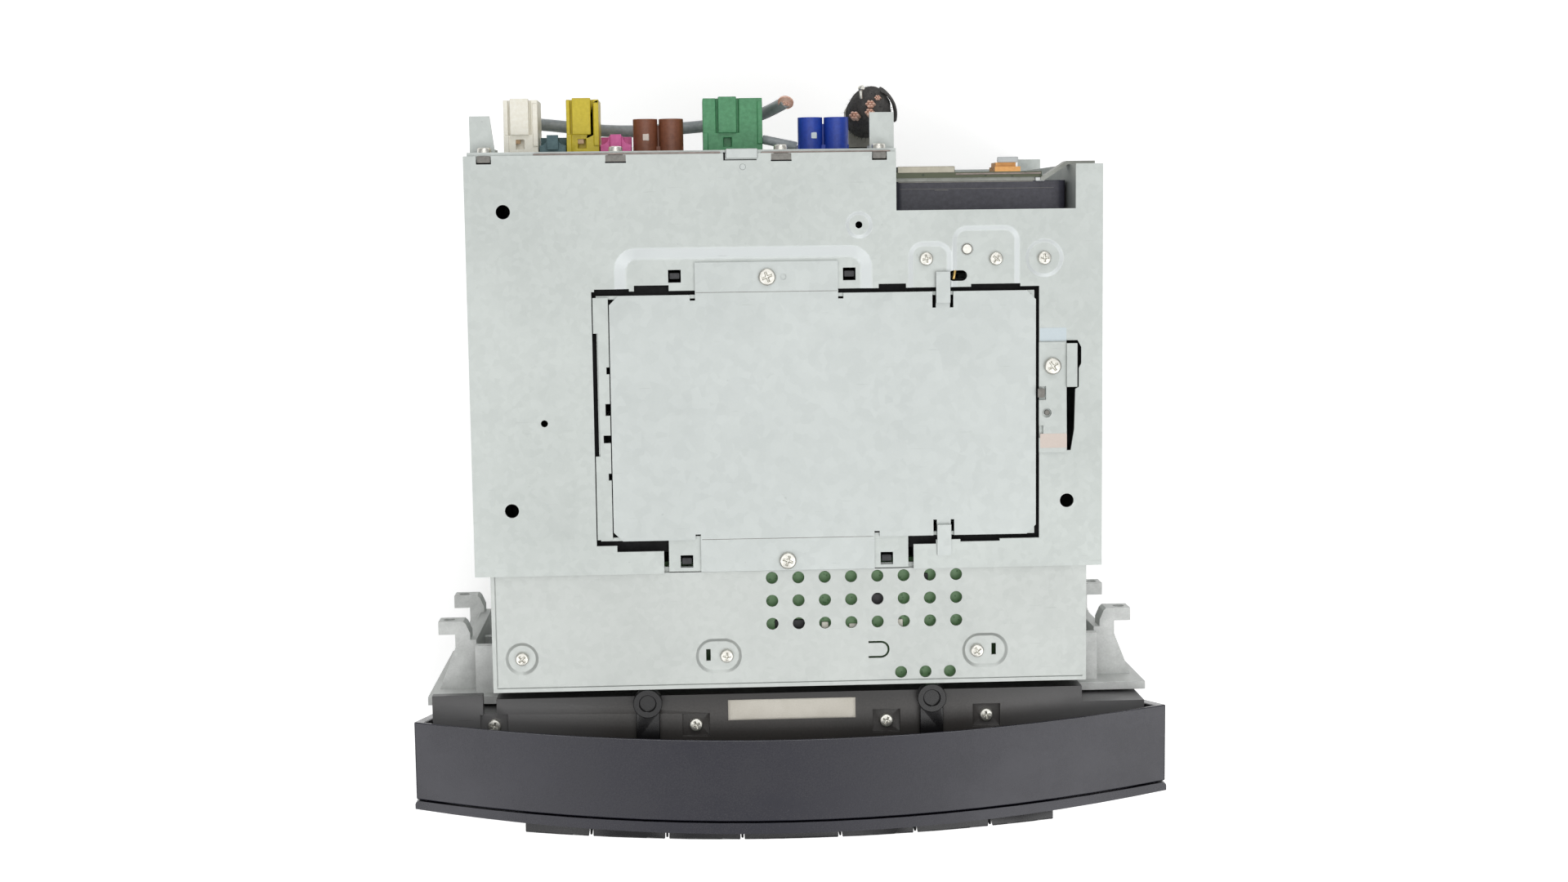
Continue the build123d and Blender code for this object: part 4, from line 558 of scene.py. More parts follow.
def dress(piece: bpy.types.Object, material: bpy.types.Material) -> None:
    """Give a piece one material only."""
    piece.data.materials.clear()
    piece.data.materials.append(material)


def finished(piece: bpy.types.Object, shop: MaterialShop, name: str, body: str = HOUSING) -> bpy.types.Object:
    """Dress a new piece, and let it ride on its body.

    Args:
        piece: The new piece, already in place.
        shop: The material shop.
        name: Name of the finish.
        body: CAD body that it rides on.

    Returns:
        The piece.
    """
    dress(piece, shop.get(name))
    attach(piece, body)
    log.info("made %s with %d faces", piece.name, len(piece.data.polygons))
    return piece


def shade_smooth(mesh: bpy.types.Mesh, sharp: float = 0.0) -> None:
    """Shade every face smooth.

    Args:
        mesh: The mesh.
        sharp: Angle in degrees from which an edge stays sharp, or 0 for none.
    """
    mesh.polygons.foreach_set("use_smooth", np.ones(len(mesh.polygons), dtype=bool))
    if sharp:
        mesh.set_sharp_from_angle(angle=math.radians(sharp))


def mesh_piece(name: str, points: np.ndarray, faces: Sequence[Sequence[int]],
               smooth: bool = True) -> bpy.types.Object:
    """Make a mesh object from points and faces.

    Args:
        name: Name of the piece.
        points: Array of points, one row each, in metres.
        faces: Faces as lists of point numbers.
        smooth: True for smooth shading up to SHARP_ANGLE.

    Returns:
        The new object.
    """
    mesh = bpy.data.meshes.new(name)
    mesh.from_pydata(points.reshape(-1, 3).tolist(), [], [list(face) for face in faces])
    mesh.validate()
    mesh.update()
    if smooth:
        shade_smooth(mesh, SHARP_ANGLE)
    return placed(name, mesh)


def circle(count: int) -> np.ndarray:
    """Angles in radians of even steps round a full turn."""
    return np.linspace(0, 2 * np.pi, count, endpoint=False)


def grid_faces(rows: int, columns: int, wrap: bool, first: int = 0) -> np.ndarray:
    """Quads of a grid of points that are numbered row by row.

    Args:
        rows: Number of rows.
        columns: Number of points in each row.
        wrap: True where each row closes on itself.
        first: Number of the first point.

    Returns:
        Array of quads.
    """
    row, column = np.meshgrid(np.arange(rows - 1), np.arange(columns if wrap else columns - 1), indexing="ij")
    row, column = row.ravel(), column.ravel()
    after = (column + 1) % columns
    quads = np.stack([row * columns + column, row * columns + after, (row + 1) * columns + after,
                      (row + 1) * columns + column], axis=1)
    return quads + first


def join_grids(name: str, grids: Sequence[np.ndarray], wrap: bool = True,
               smooth: bool = True) -> bpy.types.Object:
    """Make one piece from several grids of points, each a closed skin.

    Args:
        name: Name of the piece.
        grids: Arrays of rows by columns by three.
        wrap: True where each row closes on itself.
        smooth: True for smooth shading.

    Returns:
        The new piece, with doubled points merged and its faces turned outwards.
    """
    points, faces, first = [], [], 0
    for grid in grids:
        rows, columns = grid.shape[:2]
        points.append(grid.reshape(-1, 3))
        faces.append(grid_faces(rows, columns, wrap, first))
        first += rows * columns
    piece = mesh_piece(name, np.concatenate(points), np.concatenate(faces).tolist(), smooth)
    work = bmesh.new()
    work.from_mesh(piece.data)
    bmesh.ops.remove_doubles(work, verts=work.verts, dist=1e-7)
    bmesh.ops.recalc_face_normals(work, faces=work.faces)
    work.to_mesh(piece.data)
    work.free()
    return piece


def open_copy(node: str, ending: str, flat: float = 0.0) -> tuple[bpy.types.Mesh, bmesh.types.BMesh]:
    """Copy a CAD node's mesh and open it for editing, with its doubled points merged.

    Args:
        node: Name of the CAD node.
        ending: Ending of the copy's name.
        flat: Angle in degrees under which faces are joined into one, or 0 for none.

    Returns:
        The copy and its editable form.
    """
    mesh = frame["nodes"][node].data.copy()
    mesh.name = f"{node}_{ending}"
    work = bmesh.new()
    work.from_mesh(mesh)
    bmesh.ops.remove_doubles(work, verts=work.verts, dist=DOUBLE_GAP)
    if flat:
        bmesh.ops.dissolve_limit(work, angle_limit=math.radians(flat), verts=work.verts, edges=work.edges)
    return mesh, work


def stand_in(node: str, mesh: bpy.types.Mesh, work: bmesh.types.BMesh) -> bpy.types.Object:
    """Close an edited copy and make the piece that replaces its CAD node.

    Args:
        node: Name of the CAD node.
        mesh: The copy.
        work: Its editable form.

    Returns:
        The new piece.
    """
    work.to_mesh(mesh)
    work.free()
    piece = placed(mesh.name, mesh)
    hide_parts(node)
    return piece


def eased_copy(node: str, width: float, end_round: float = 0.0) -> bpy.types.Object:
    """Copy a CAD node with small rounded edges, to stand for it.

    Args:
        node: Name of the CAD node.
        width: Width of the rounding in millimetres.
        end_round: Radius in millimetres of the front upright edge at the far end from the middle, or 0.

    Returns:
        The new piece, which replaces the node.
    """
    mesh, work = open_copy(node, "eased", EASED_FLAT)
    if end_round:
        near = END_REACH * MM
        far = max(abs(vert.co.x) for vert in work.verts)
        outer = [vert for vert in work.verts if abs(abs(vert.co.x) - far) < near]
        front = min(vert.co.y for vert in outer)
        edges = [edge for edge in work.edges
                 if all(vert in outer and vert.co.y - front < near for vert in edge.verts)
                 and abs(edge.verts[0].co.z - edge.verts[1].co.z) > UPRIGHT_LENGTH * MM]
        bmesh.ops.bevel(work, geom=edges, offset=end_round * MM, offset_type="OFFSET", segments=END_STEPS,
                        profile=0.5, affect="EDGES", clamp_overlap=True)
    piece = stand_in(node, mesh, work)
    shade_smooth(mesh, EASED_SHARP)
    bevel = piece.modifiers.new("eased_edges", "BEVEL")
    bevel.width = width * MM
    bevel.segments = 2
    bevel.limit_method = "ANGLE"
    bevel.angle_limit = math.radians(BEVEL_ANGLE)
    return piece


def is_slope(face: bmesh.types.BMFace) -> bool:
    """True for a face that looks up but not straight up."""
    return SLOPE_Z < face.normal.z < LEVEL_Z


def softened_copy(node: str, top: float, depths: Sequence[float], wear_and_highlight: float) -> bpy.types.Object:
    """Copy a pressed sheet node, shade the slopes of its pockets as soft bends and paint them paler as a
    highlight, to stand for it.

    Level cuts near both ends of each slope add points whose normal is the slope's own, while points on a flat
    face keep the flat normal, so that the shading turns smoothly over the two bends and the flats stay even.

    Args:
        node: Name of the CAD node.
        top: Height of the sheet's upper face in millimetres.
        depths: Depths of the pockets in millimetres.
        wear_and_highlight: How much paler the slopes are painted than the flats, as a painted highlight, 0 to
            1.

    Returns:
        The new piece, which replaces the node.
    """
    mesh, work = open_copy(node, "pressed", PRESSED_FLAT)
    for level in (top - depth * share for depth in depths for share in CUT_SHARES):
        slopes = [face for face in work.faces if is_slope(face)]
        sides = {edge for face in slopes for edge in face.edges}
        corners = {vert for face in slopes for vert in face.verts}
        bmesh.ops.bisect_plane(work, geom=[*slopes, *sides, *corners], dist=1e-6,
                               plane_co=(0.0, 0.0, level * MM), plane_no=(0.0, 0.0, 1.0))
    bmesh.ops.triangulate(work, faces=[face for face in work.faces if len(face.verts) > 4])
    work.normal_update()
    # Share of painted highlight on each slope point
    slope_highlight = work.verts.layers.float.new("slope_highlight")
    level_verts = {vert for face in work.faces if face.normal.z > LEVEL_Z for vert in face.verts}
    for vert in work.verts:
        vert[slope_highlight] = wear_and_highlight if vert not in level_verts and any(map(is_slope, vert.link_faces)) else 0.0
    normals = []
    for face in work.faces:
        for vert in face.verts:
            way = face.normal
            if is_slope(face) and vert in level_verts:
                way = Vector((0.0, 0.0, 1.0))
            elif is_slope(face):
                way = sum((other.normal for other in vert.link_faces if other.normal.z > SLOPE_Z), Vector())
            normals.append(tuple(way.normalized()))
    piece = stand_in(node, mesh, work)
    shade_smooth(mesh)
    mesh.normals_split_custom_set(normals)
    return piece


def trimmed_copy(node: str, low: Point, high: Point) -> bpy.types.Object:
    """Copy a sheet node without the part inside a box, to stand for it.

    Args:
        node: Name of the CAD node.
        low: Lowest corner of the box in millimetres.
        high: Highest corner of the box in millimetres.

    Returns:
        The new piece, which replaces the node.
    """
    mesh, work = open_copy(node, "trimmed")
    low, high = Vector(low) * MM, Vector(high) * MM
    for place, way in ((low, (1, 0, 0)), (high, (1, 0, 0)), (low, (0, 1, 0))):
        bmesh.ops.bisect_plane(work, geom=[*work.verts, *work.edges, *work.faces], dist=1e-7,
                               plane_co=place, plane_no=way)
    inside = [face for face in work.faces
              if all(low[axis] < face.calc_center_median()[axis] < high[axis] for axis in range(3))]
    bmesh.ops.delete(work, geom=inside, context="FACES")
    return stand_in(node, mesh, work)


def slab(low: Point, high: Point, ease: float = 0.15, corner: float = 0.3, steps: int = 4) -> np.ndarray:
    """Block with rounded upright corners and eased rims, as a grid of rings from bottom to top.

    Each ring is a rectangle whose corners are quarter circles; the first and last rings shrink to a point.

    Args:
        low: Lowest corner in millimetres.
        high: Highest corner in millimetres.
        ease: How far the top and bottom rims are drawn in.
        corner: Radius of the upright corners.
        steps: Points on each corner.

    Returns:
        Array of rings by points by three, in metres.
    """
    low, high = np.array(low), np.array(high)
    middle, half = (low + high) / 2, (high - low) / 2
    corner, ease = min(corner, *half[:2] * 0.9), min(ease, *half * 0.5)
    quarter = np.linspace(0.0, np.pi / 2, steps)
    turn = np.concatenate([quarter + side * np.pi / 2 for side in range(4)])
    sign_x = np.repeat([1, -1, -1, 1], steps)
    sign_y = np.repeat([1, 1, -1, -1], steps)
    rings = []
    for inset, z in ((None, low[2]), (ease, low[2]), (0.0, low[2] + ease), (0.0, high[2] - ease),
                     (ease, high[2]), (None, high[2])):
        scale = 0.0 if inset is None else 1.0
        inset = inset or 0.0
        x = sign_x * (half[0] - corner) + (corner - inset) * np.cos(turn)
        y = sign_y * (half[1] - corner) + (corner - inset) * np.sin(turn)
        rings.append(np.stack([middle[0] + scale * x, middle[1] + scale * y, np.full_like(x, z)], axis=1))
    return np.array(rings) * MM


def rod(start: Point, end: Point, radius: float, sides: int = 14) -> np.ndarray:
    """Straight round rod with slightly domed ends, as a grid of rings along it.

    Args:
        start: One end in millimetres.
        end: Other end in millimetres.
        radius: Radius in millimetres.
        sides: Points on each ring.

    Returns:
        Array of rings by points by three, in metres.
    """
    start, end = np.array(start, dtype=float), np.array(end, dtype=float)
    along = (end - start) / np.linalg.norm(end - start)
    side = np.cross(along, (0.31, 0.59, 0.74))
    side /= np.linalg.norm(side)
    up = np.cross(along, side)
    turn = circle(sides)[:, None]
    ring = np.cos(turn) * side + np.sin(turn) * up
    length = np.linalg.norm(end - start)
    bow = 0.25 * radius
    places = np.array([0.0, 0.0, bow, length - bow, length, length])
    widths = np.array([0.0, 0.85, 1.0, 1.0, 0.85, 0.0]) * radius
    return (start + places[:, None, None] * along + widths[:, None, None] * ring[None]) * MM


@dataclass
class Studio:
    """Camera, lamps, floor and world. Lengths are in metres."""

    camera_place: Point = (-0.02773, 0.05843, 0.68234)
    camera_rows: tuple[Point, Point, Point] = ((0.9988, -0.0127, 0.0466), (0.0176, 0.9941, -0.1073),
                                               (-0.0449, 0.1080, 0.9931))
    lens_mm: float = 47.26
    floor_half: float = 4.0
    floor_lift: float = 0.42
    world_light: float = 0.38
    lamps: tuple[tuple[str, Point, Point, float, float], ...] = (
        ("overhead_softbox", (0.0, 0.32, 1.5), (0.0, 0.05, 0.05), 1.3, 6.4),
        ("left_softbox", (-0.46, -0.4, 1.0), (0.0, -0.05, 0.05), 0.6, 2.7),
        ("right_softbox", (0.46, -0.4, 1.0), (0.0, -0.05, 0.05), 0.6, 3.0),
        ("rear_key", (0.1, 1.1, 1.0), (0.0, 0.0, 0.05), 0.5, 4.4))

    def build(self) -> None:
        """Make the camera, the world, the floor and the lamps in order."""
        self.camera()
        self.world()
        self.floor()
        for entry in self.lamps:
            self.lamp(*entry)

    def camera(self) -> None:
        """Place the camera by its position and its three axis rows."""
        data = bpy.data.cameras.new("photo_camera")
        data.lens = self.lens_mm
        data.sensor_width = 36.0
        camera = placed("photo_camera", data)
        turn = Matrix(self.camera_rows).transposed().to_4x4()
        camera.matrix_world = Matrix.Translation(Vector(self.camera_place)) @ turn
        bpy.context.scene.camera = camera

    @staticmethod
    def seen(graph: Graph, rays: Sequence[str]) -> bpy.types.NodeSocket:
        """Tell the rays that see a surface from the rays that it lights.

        Args:
            graph: Graph of the material or the world.
            rays: Outputs of the Light Path node to add up.

        Returns:
            1 for any of the rays, and 0 for all others.
        """
        path = graph.add("ShaderNodeLightPath")
        total = path.outputs[rays[0]]
        for ray in rays[1:]:
            total = graph.math("ADD", total, path.outputs[ray])
        return graph.math("MINIMUM", total, 1.0)

    def world(self) -> None:
        """White to the camera and in reflections, softer as a light."""
        world = bpy.data.worlds.new("studio_world")
        bpy.context.scene.world = world
        world.use_nodes = True
        graph = Graph(world.node_tree)
        seen = self.seen(graph, ("Is Camera Ray", "Is Transmission Ray"))
        back = world.node_tree.nodes["Background"]
        back.inputs["Color"].default_value = (1.0, 1.0, 1.0, 1.0)
        graph.fill(back.inputs["Strength"], graph.remap(seen, 0.0, 1.0, self.world_light, 1.0))

    def floor(self) -> None:
        """Pale floor that lightens to white for the camera but keeps the shadow."""
        half = self.floor_half
        points = np.array([(-half, -half, 0.0), (half, -half, 0.0), (half, half, 0.0), (-half, half, 0.0)])
        piece = mesh_piece("studio_floor", points, [(0, 1, 2, 3)], smooth=False)
        material, graph, shader, where = new_material("floor_paper")
        cloud = graph.noise(where, 30.0, 2.0)
        graph.fill(shader.inputs["Base Color"], graph.mix(cloud, (0.86, 0.86, 0.86), (0.87, 0.87, 0.865)))
        seen = self.seen(graph, ("Is Camera Ray", "Is Glossy Ray", "Is Transmission Ray"))
        shader.inputs["Emission Color"].default_value = (1.0, 1.0, 1.0, 1.0)
        graph.fill(shader.inputs["Emission Strength"], graph.scaled(seen, self.floor_lift))
        shader.inputs["Roughness"].default_value = 0.9
        dress(piece, material)

    @staticmethod
    def lamp(name: str, place: Point, target: Point, size: float, power: float) -> None:
        """Add a square soft lamp that faces a point.

        Args:
            name: Name of the lamp.
            place: Where it stands.
            target: Point that it faces.
            size: Side of the square.
            power: Power in watts.
        """
        data = bpy.data.lights.new(name, "AREA")
        data.shape = "SQUARE"
        data.size = size
        data.energy = power
        turn = (Vector(target) - Vector(place)).to_track_quat("-Z", "Y").to_matrix().to_4x4()
        placed(name, data).matrix_world = Matrix.Translation(Vector(place)) @ turn


@dataclass
class ScrewHead:
    """A pan-head screw with a star recess. Sizes are in millimetres."""

    radius: float
    height: float = 1.5
    spread: float = 1.12
    recess_radius: float = 0.62
    recess_depth: float = 0.75
    rings: int = 26
    spokes: int = 48
    shoulder: float = 0.84
    shoulder_width: float = 0.16
    crown: float = 0.16
    round_off: float = 0.55
    rim: float = 0.9
    rim_width: float = 0.1
    arm_root: float = 0.25
    arm_taper: float = 2.2
    cup_taper: float = 2.6
    wall: float = 2.2
    fade: float = 0.35

    def grid(self, turn: float) -> np.ndarray:
        """Work out the head as a grid over radius and angle.

        The dome falls off with the square of the radius and drops to the seat at the rim. The recess is a
        four-armed star: its depth follows the cosine of four times the angle and fades with the radius.

        Args:
            turn: Angle of the recess in radians.

        Returns:
            Array of rings by spokes by three, in millimetres about the seat's middle.
        """
        share = np.linspace(0.0, 1.0, self.rings)[:, None]
        angle = circle(self.spokes)[None, :]
        wide = np.minimum(share * self.spread, 1.0)
        radius = self.radius * wide * np.ones_like(angle)
        edge = np.clip((share * self.spread - self.shoulder) / self.shoulder_width, 0.0, 1.0)
        dome = self.height * (1.0 - self.crown * wide ** 2) * np.sqrt(1.0 - self.round_off * edge ** 2)
        dome = np.where(share > self.rim, dome * (1.0 - share) / self.rim_width, dome)
        reach = radius / (self.radius * self.recess_radius)
        slot = self.arm_root + self.arm_taper * reach
        arms = np.clip(1.0 - np.abs(np.sin(2 * (angle - turn))) * slot, 0.0, 1.0)
        cup = np.clip(1.0 - reach * self.cup_taper, 0.0, 1.0)
        sunk = self.recess_depth * np.clip(np.maximum(arms * (reach < 1.0), cup) * self.wall, 0.0, 1.0)
        height = np.maximum(dome - sunk * (1.0 - self.fade * reach).clip(0.3, 1.0), 0.0)
        return np.stack([radius * np.cos(angle), radius * np.sin(angle), height], axis=2)


@dataclass
class Fasteners:
    """All screws, in two pieces that stand for the two screw nodes. Millimetres."""

    large: tuple[Point, ...] = ((-5.6, 41.8, 99.6), (-0.7, -39.4, 99.6), (75.4, 15.4, 101.0))
    large_radius: float = 2.45
    small_radius: float = 1.95
    cover: tuple[Point, ...] = ((39.6, 46.3, 99.3), (59.5, 46.1, 99.3), (73.3, 46.1, 99.3))
    shell: tuple[Point, ...] = ((-77.4, -66.8, 97.8), (-18.6, -67.2, 97.8), (54.0, -67.2, 97.8))
    carrier: tuple[Point, ...] = ((-86.3, -87.4, 92.8), (-27.8, -88.4, 92.8), (27.9, -88.4, 92.8),
                                  (57.3, -87.4, 92.8))
    rear_x: tuple[float, ...] = (-84.3, -47.6, -1.2, 26.5)
    rear_y: float = 77.5
    rear_z: float = 97.1

    @staticmethod
    def upright(head: ScrewHead, places: Sequence[Point], first: float, step: float) -> list[np.ndarray]:
        """Stand a head at each place, each turned a step further than the one before.

        Args:
            head: The screw head.
            places: Middles of the seats in millimetres.
            first: Angle of the first recess in radians.
            step: Further angle of each next one.

        Returns:
            The heads' grids in metres.
        """
        return [(head.grid(first + step * number) + np.array(place)) * MM
                for number, place in enumerate(places)]

    def build(self, shop: MaterialShop) -> None:
        """Make the large and the small screw heads.

        Args:
            shop: The material shop.
        """
        large = self.upright(ScrewHead(self.large_radius), self.large, 0.35, 0.9)
        head = ScrewHead(self.small_radius)
        small = self.upright(head, self.cover + self.shell + self.carrier, 0.2, 0.7)
        for number, x in enumerate(self.rear_x):
            flat = head.grid(0.4 * number)
            turned = np.stack([flat[..., 0], flat[..., 2], -flat[..., 1]], axis=2)
            small.append((turned + np.array((x, self.rear_y, self.rear_z))) * MM)
        for name, grids in (("large_screw", large), ("small_screw", small)):
            piece = join_grids(f"{name}_heads", grids)
            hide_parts(f"{name}s")
            finished(piece, shop, "bright_screw")


@dataclass
class GreyCable:
    """The cut-off grey cable and its bare end. Millimetres."""

    route: tuple[Point, ...] = (
        (-74.6, 87.0, 73.0), (-74.6, 87.0, 64.0), (-66.0, 86.4, 60.5), (-55.0, 84.8, 63.5),
        (-43.5, 84.2, 65.5), (-31.0, 85.0, 63.2), (-18.5, 86.0, 64.2), (-8.0, 87.8, 67.0),
        (-2.0, 90.0, 73.5), (1.4, 91.8, 80.0))
    radius: float = 1.8
    strand_count: int = 19
    strand_radius: float = 0.3
    strand_reach: float = 1.1
    strand_inset: float = 0.45
    strand_root: float = 0.8

    def build(self, shop: MaterialShop) -> None:
        """Make the cable as a smooth line with its strands at the cut end.

        Args:
            shop: The material shop.
        """
        curve = bpy.data.curves.new("grey_cable_line", "CURVE")
        curve.dimensions = "3D"
        spline = curve.splines.new("NURBS")
        spline.points.add(len(self.route) - 1)
        spline.points.foreach_set("co", np.array([(*point, 1.0 / MM) for point in self.route]).ravel() * MM)
        spline.order_u = 3
        spline.use_endpoint_u = True
        spline.resolution_u = 16
        line = placed("grey_cable_line", curve)
        bpy.context.view_layer.update()
        bare = bpy.data.meshes.new_from_object(line.evaluated_get(bpy.context.evaluated_depsgraph_get()))
        path = np.zeros(len(bare.vertices) * 3)
        bare.vertices.foreach_get("co", path)
        path = path.reshape(-1, 3)
        curve.bevel_depth = self.radius * MM
        curve.bevel_resolution = 6
        curve.use_fill_caps = True
        dress(line, shop.get("cable_sheath"))
        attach(line, HOUSING)
        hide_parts("grey_cable")
        strands = self.strands(path[-1], path[-1] - path[-3])
        finished(strands, shop, "bare_copper")

    def strands(self, end: np.ndarray, way: np.ndarray) -> bpy.types.Object:
        """Short copper strands that fill the cut end in a spiral of circles.

        Each strand is a small cylinder with a domed tip; strand k stands at the golden angle times k and at a
        radius that grows with the square root of k.

        Args:
            end: Last point of the cable's line, in metres.
            way: Direction of the line there.

        Returns:
            The strands as one piece.
        """
        along = way / np.linalg.norm(way)
        side = np.cross(along, (0.0, 1.0, 0.0))
        side /= np.linalg.norm(side)
        up = np.cross(side, along)
        turn = circle(8)
        ring = np.cos(turn)[:, None] * side + np.sin(turn)[:, None] * up
        widths = np.array([1.0, 1.0, 0.75, 0.0]) * self.strand_radius * MM
        grids = []
        for number in range(self.strand_count):
            angle = GOLDEN_ANGLE * number
            out = (self.radius - self.strand_inset) * math.sqrt(number / self.strand_count) * MM
            middle = end + side * out * math.cos(angle) + up * out * math.sin(angle)
            reach = (self.strand_reach * (0.6 + 0.4 * math.sin(5.1 * number))) * MM
            levels = np.array([-self.strand_root * MM, reach * 0.6, reach * 0.9, reach])
            grids.append(middle + levels[:, None, None] * along + widths[:, None, None] * ring[None])
        return join_grids("cable_strands", grids)


@dataclass
class LoomStub:
    """Taped stub of the cut-off loom with its frayed end. Millimetres."""

    levels: tuple[tuple[float, float, float, float], ...] = (
        (56.2, 26.5, 87.5, 5.2), (60.0, 26.3, 87.6, 6.0), (64.0, 25.9, 87.9, 6.4), (70.0, 26.2, 88.9, 6.6),
        (75.0, 26.6, 90.2, 6.2), (78.0, 27.0, 90.8, 5.2), (79.8, 27.2, 91.0, 3.2))
    rows: int = 90
    columns: int = 64
    ridge: float = 0.22
    fibre_count: int = 420
    fibre_width: float = 0.06
    fibre_lean: float = 0.5
    fibre_rise: float = 0.6
    fibre_reach: tuple[float, float] = (0.3, 1.0)
    bare_rows: tuple[int, int] = (14, 8)
    seed: int = 7
    lap_pitch: float = 0.85
    skin_inset: float = 0.6
    bulges: tuple[float, float] = (0.35, 0.12)
    bulge_from: float = 57.0
    bulge_rise: float = 4.0
    tail_root: Point = (29.0, 95.2, 77.5)
    tail_fall: Point = (4.6, 9.5, 3.0)
    tail_bend: float = 1.9
    tail_drop: float = 1.4
    tail_half: float = 3.4
    tail_taper: float = 0.7
    tail_tip: float = 0.25
    tail_thick: float = 0.55
    rearmost: float = 96.3
    strands: int = 6
    wire_widths: tuple[float, ...] = (0.34, 0.34, 0.24, 0.0)
    wire_rises: tuple[float, ...] = (-2.2, 0.2, 0.5, 0.62)
    wire_way: Point = (-0.25, 0.15, 0.95)
    wire_spread: float = 0.62
    wire_squash: float = 0.8
    wire_slant: float = 0.35
    cut_wires: tuple[tuple[float, float, float, float], ...] = (
        (21.2, 87.6, 79.6, 1.6), (25.6, 88.4, 80.6, 1.5), (25.8, 90.8, 80.6, 1.5), (28.0, 92.6, 80.0, 1.0))
    pin: tuple[tuple[Point, Point, float], ...] = (
        ((23.2, 92.4, 80.0), (23.0, 95.2, 80.6), 0.45), ((22.7, 95.2, 80.3), (23.7, 95.6, 81.2), 0.8))

    def build(self, shop: MaterialShop) -> None:
        """Make the taped body, the tape's tail, the fibres, the cut wires and the loose pin.

        Args:
            shop: The material shop.
        """
        piece = join_grids("loom_tape", [self.body(), self.tail()])
        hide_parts("loom_stub")
        finished(piece, shop, "cloth_tape")
        finished(self.fibres(), shop, "cloth_tape")
        finished(self.wires(), shop, "bare_copper")
        finished(join_grids("loose_pin", [rod(*entry) for entry in self.pin]), shop, "bright_screw")

    def body(self) -> np.ndarray:
        """Skin of the taped body.

        The middle line and the radius are read off the levels by linear interpolation with height. The radius
        is raised by slanted tape laps, a sine of height plus angle, and by a slow uneven bulge. The last row
        closes the top.

        Returns:
            Array of rows by columns by three, in metres.
        """
        table = np.array(self.levels)
        height = np.linspace(table[0, 0], table[-1, 0], self.rows)
        angle = circle(self.columns)[None, :]
        x, y, radius = (np.interp(height, table[:, 0], table[:, number])[:, None] for number in (1, 2, 3))
        laps = np.abs(np.sin(height[:, None] * self.lap_pitch + angle)) * self.ridge
        slow, fast = self.bulges
        bulge = slow * np.sin(2 * angle + height[:, None] * 0.3) + fast * np.sin(7 * angle + height[:, None])
        grown = np.clip((height[:, None] - self.bulge_from) / self.bulge_rise, 0.0, 1.0)
        wide = radius - self.skin_inset + laps + bulge * grown
        wide[0], wide[-1] = 0.0, 0.0
        z = np.broadcast_to(height[:, None], wide.shape)
        return np.stack([x + wide * np.cos(angle), y + wide * np.sin(angle), z], axis=2) * MM

    def tail(self) -> np.ndarray:
        """Loose tail of the tape: a flat tapering tongue that bends over to the right and back down.

        Its middle line is an arc in X and Y; its half width shrinks to the tip and its thickness is steady.

        Returns:
            Array of rows by columns by three, in metres.
        """
        share = np.linspace(0.0, 1.0, 26)[:, None]
        angle = circle(16)[None, :]
        ends = (share == 0) | (share == 1)
        (root_x, root_y, root_z), (fall_x, fall_y, fall_z) = self.tail_root, self.tail_fall
        x = root_x + fall_x * np.sin(share * self.tail_bend)
        y = root_y - fall_y * share ** self.tail_drop
        z = root_z - fall_z * share
        half = np.where(ends, 0.0, self.tail_half * (1.0 - share) ** self.tail_taper + self.tail_tip)
        thick = np.where(ends, 0.0, self.tail_thick)
        return np.stack([x + thick * np.cos(angle), y + 0 * angle - 0.3 * half * np.sin(angle),
                         z + half * np.sin(angle)], axis=2) * MM

    def fibres(self) -> bpy.types.Object:
        """Short lint fibres that stand off the tape.

        Each is a thin three-sided blade from a point of the skin outwards, bent by a seeded random offset.

        Returns:
            The fibres as one piece.
        """
        skin, count = self.body(), self.fibre_count
        pick = np.random.default_rng(self.seed)
        rows = pick.integers(self.bare_rows[0], self.rows - self.bare_rows[1], count)
        columns = pick.integers(0, self.columns, count)
        root = skin[rows, columns]
        table = np.array(self.levels)
        height = root[:, 2] / MM
        middle = np.stack([*(np.interp(height, table[:, 0], table[:, column]) for column in (1, 2)), height],
                          axis=1) * MM
        out = root - middle
        out /= np.linalg.norm(out, axis=1, keepdims=True) + 1e-9
        lean = pick.normal(0.0, self.fibre_lean, (count, 3))
        lean[:, 2] *= self.fibre_rise
        tip = root + (out + lean) * pick.uniform(*self.fibre_reach, (count, 1)) * MM
        tip[:, 1] = np.minimum(tip[:, 1], self.rearmost * MM)
        width = self.fibre_width * MM
        shifts = np.array([(width, 0, 0), (-width, width, 0), (0, -width, width)])
        points = np.concatenate([(root[:, None] + shifts[None]).reshape(-1, 3), tip])
        base = np.arange(count)[:, None] * 3
        top = (3 * count + np.arange(count))[:, None]
        faces = np.concatenate([np.hstack([base, base + 1, top]), np.hstack([base + 1, base + 2, top]),
                                np.hstack([base + 2, base, top]), np.hstack([base + 2, base + 1, base])])
        return mesh_piece("tape_fibres", points, faces.tolist(), smooth=False)

    def wires(self) -> bpy.types.Object:
        """Cut copper wires that show at the frayed end, each a ring of strands round a middle one.

        Returns:
            The wires as one piece.
        """
        turn = circle(10)
        squash, slant = self.wire_squash, self.wire_slant
        ring = np.stack([np.cos(turn), np.sin(turn) * squash, slant * np.sin(turn)], axis=1)
        rise = np.array(self.wire_rises)[:, None, None] * np.array(self.wire_way)
        grids = []
        for x, y, z, radius in self.cut_wires:
            wide = np.array(self.wire_widths) * radius
            for number in range(self.strands + 1):
                angle = number * 2 * np.pi / self.strands
                out = 0.0 if number == self.strands else radius * self.wire_spread
                middle = np.array((x + out * math.cos(angle), y + squash * out * math.sin(angle),
                                   z + 0.2 * math.cos(3.0 * number)))
                grids.append((middle + rise + wide[:, None, None] * ring[None]) * MM)
        return join_grids("cut_wires", grids)


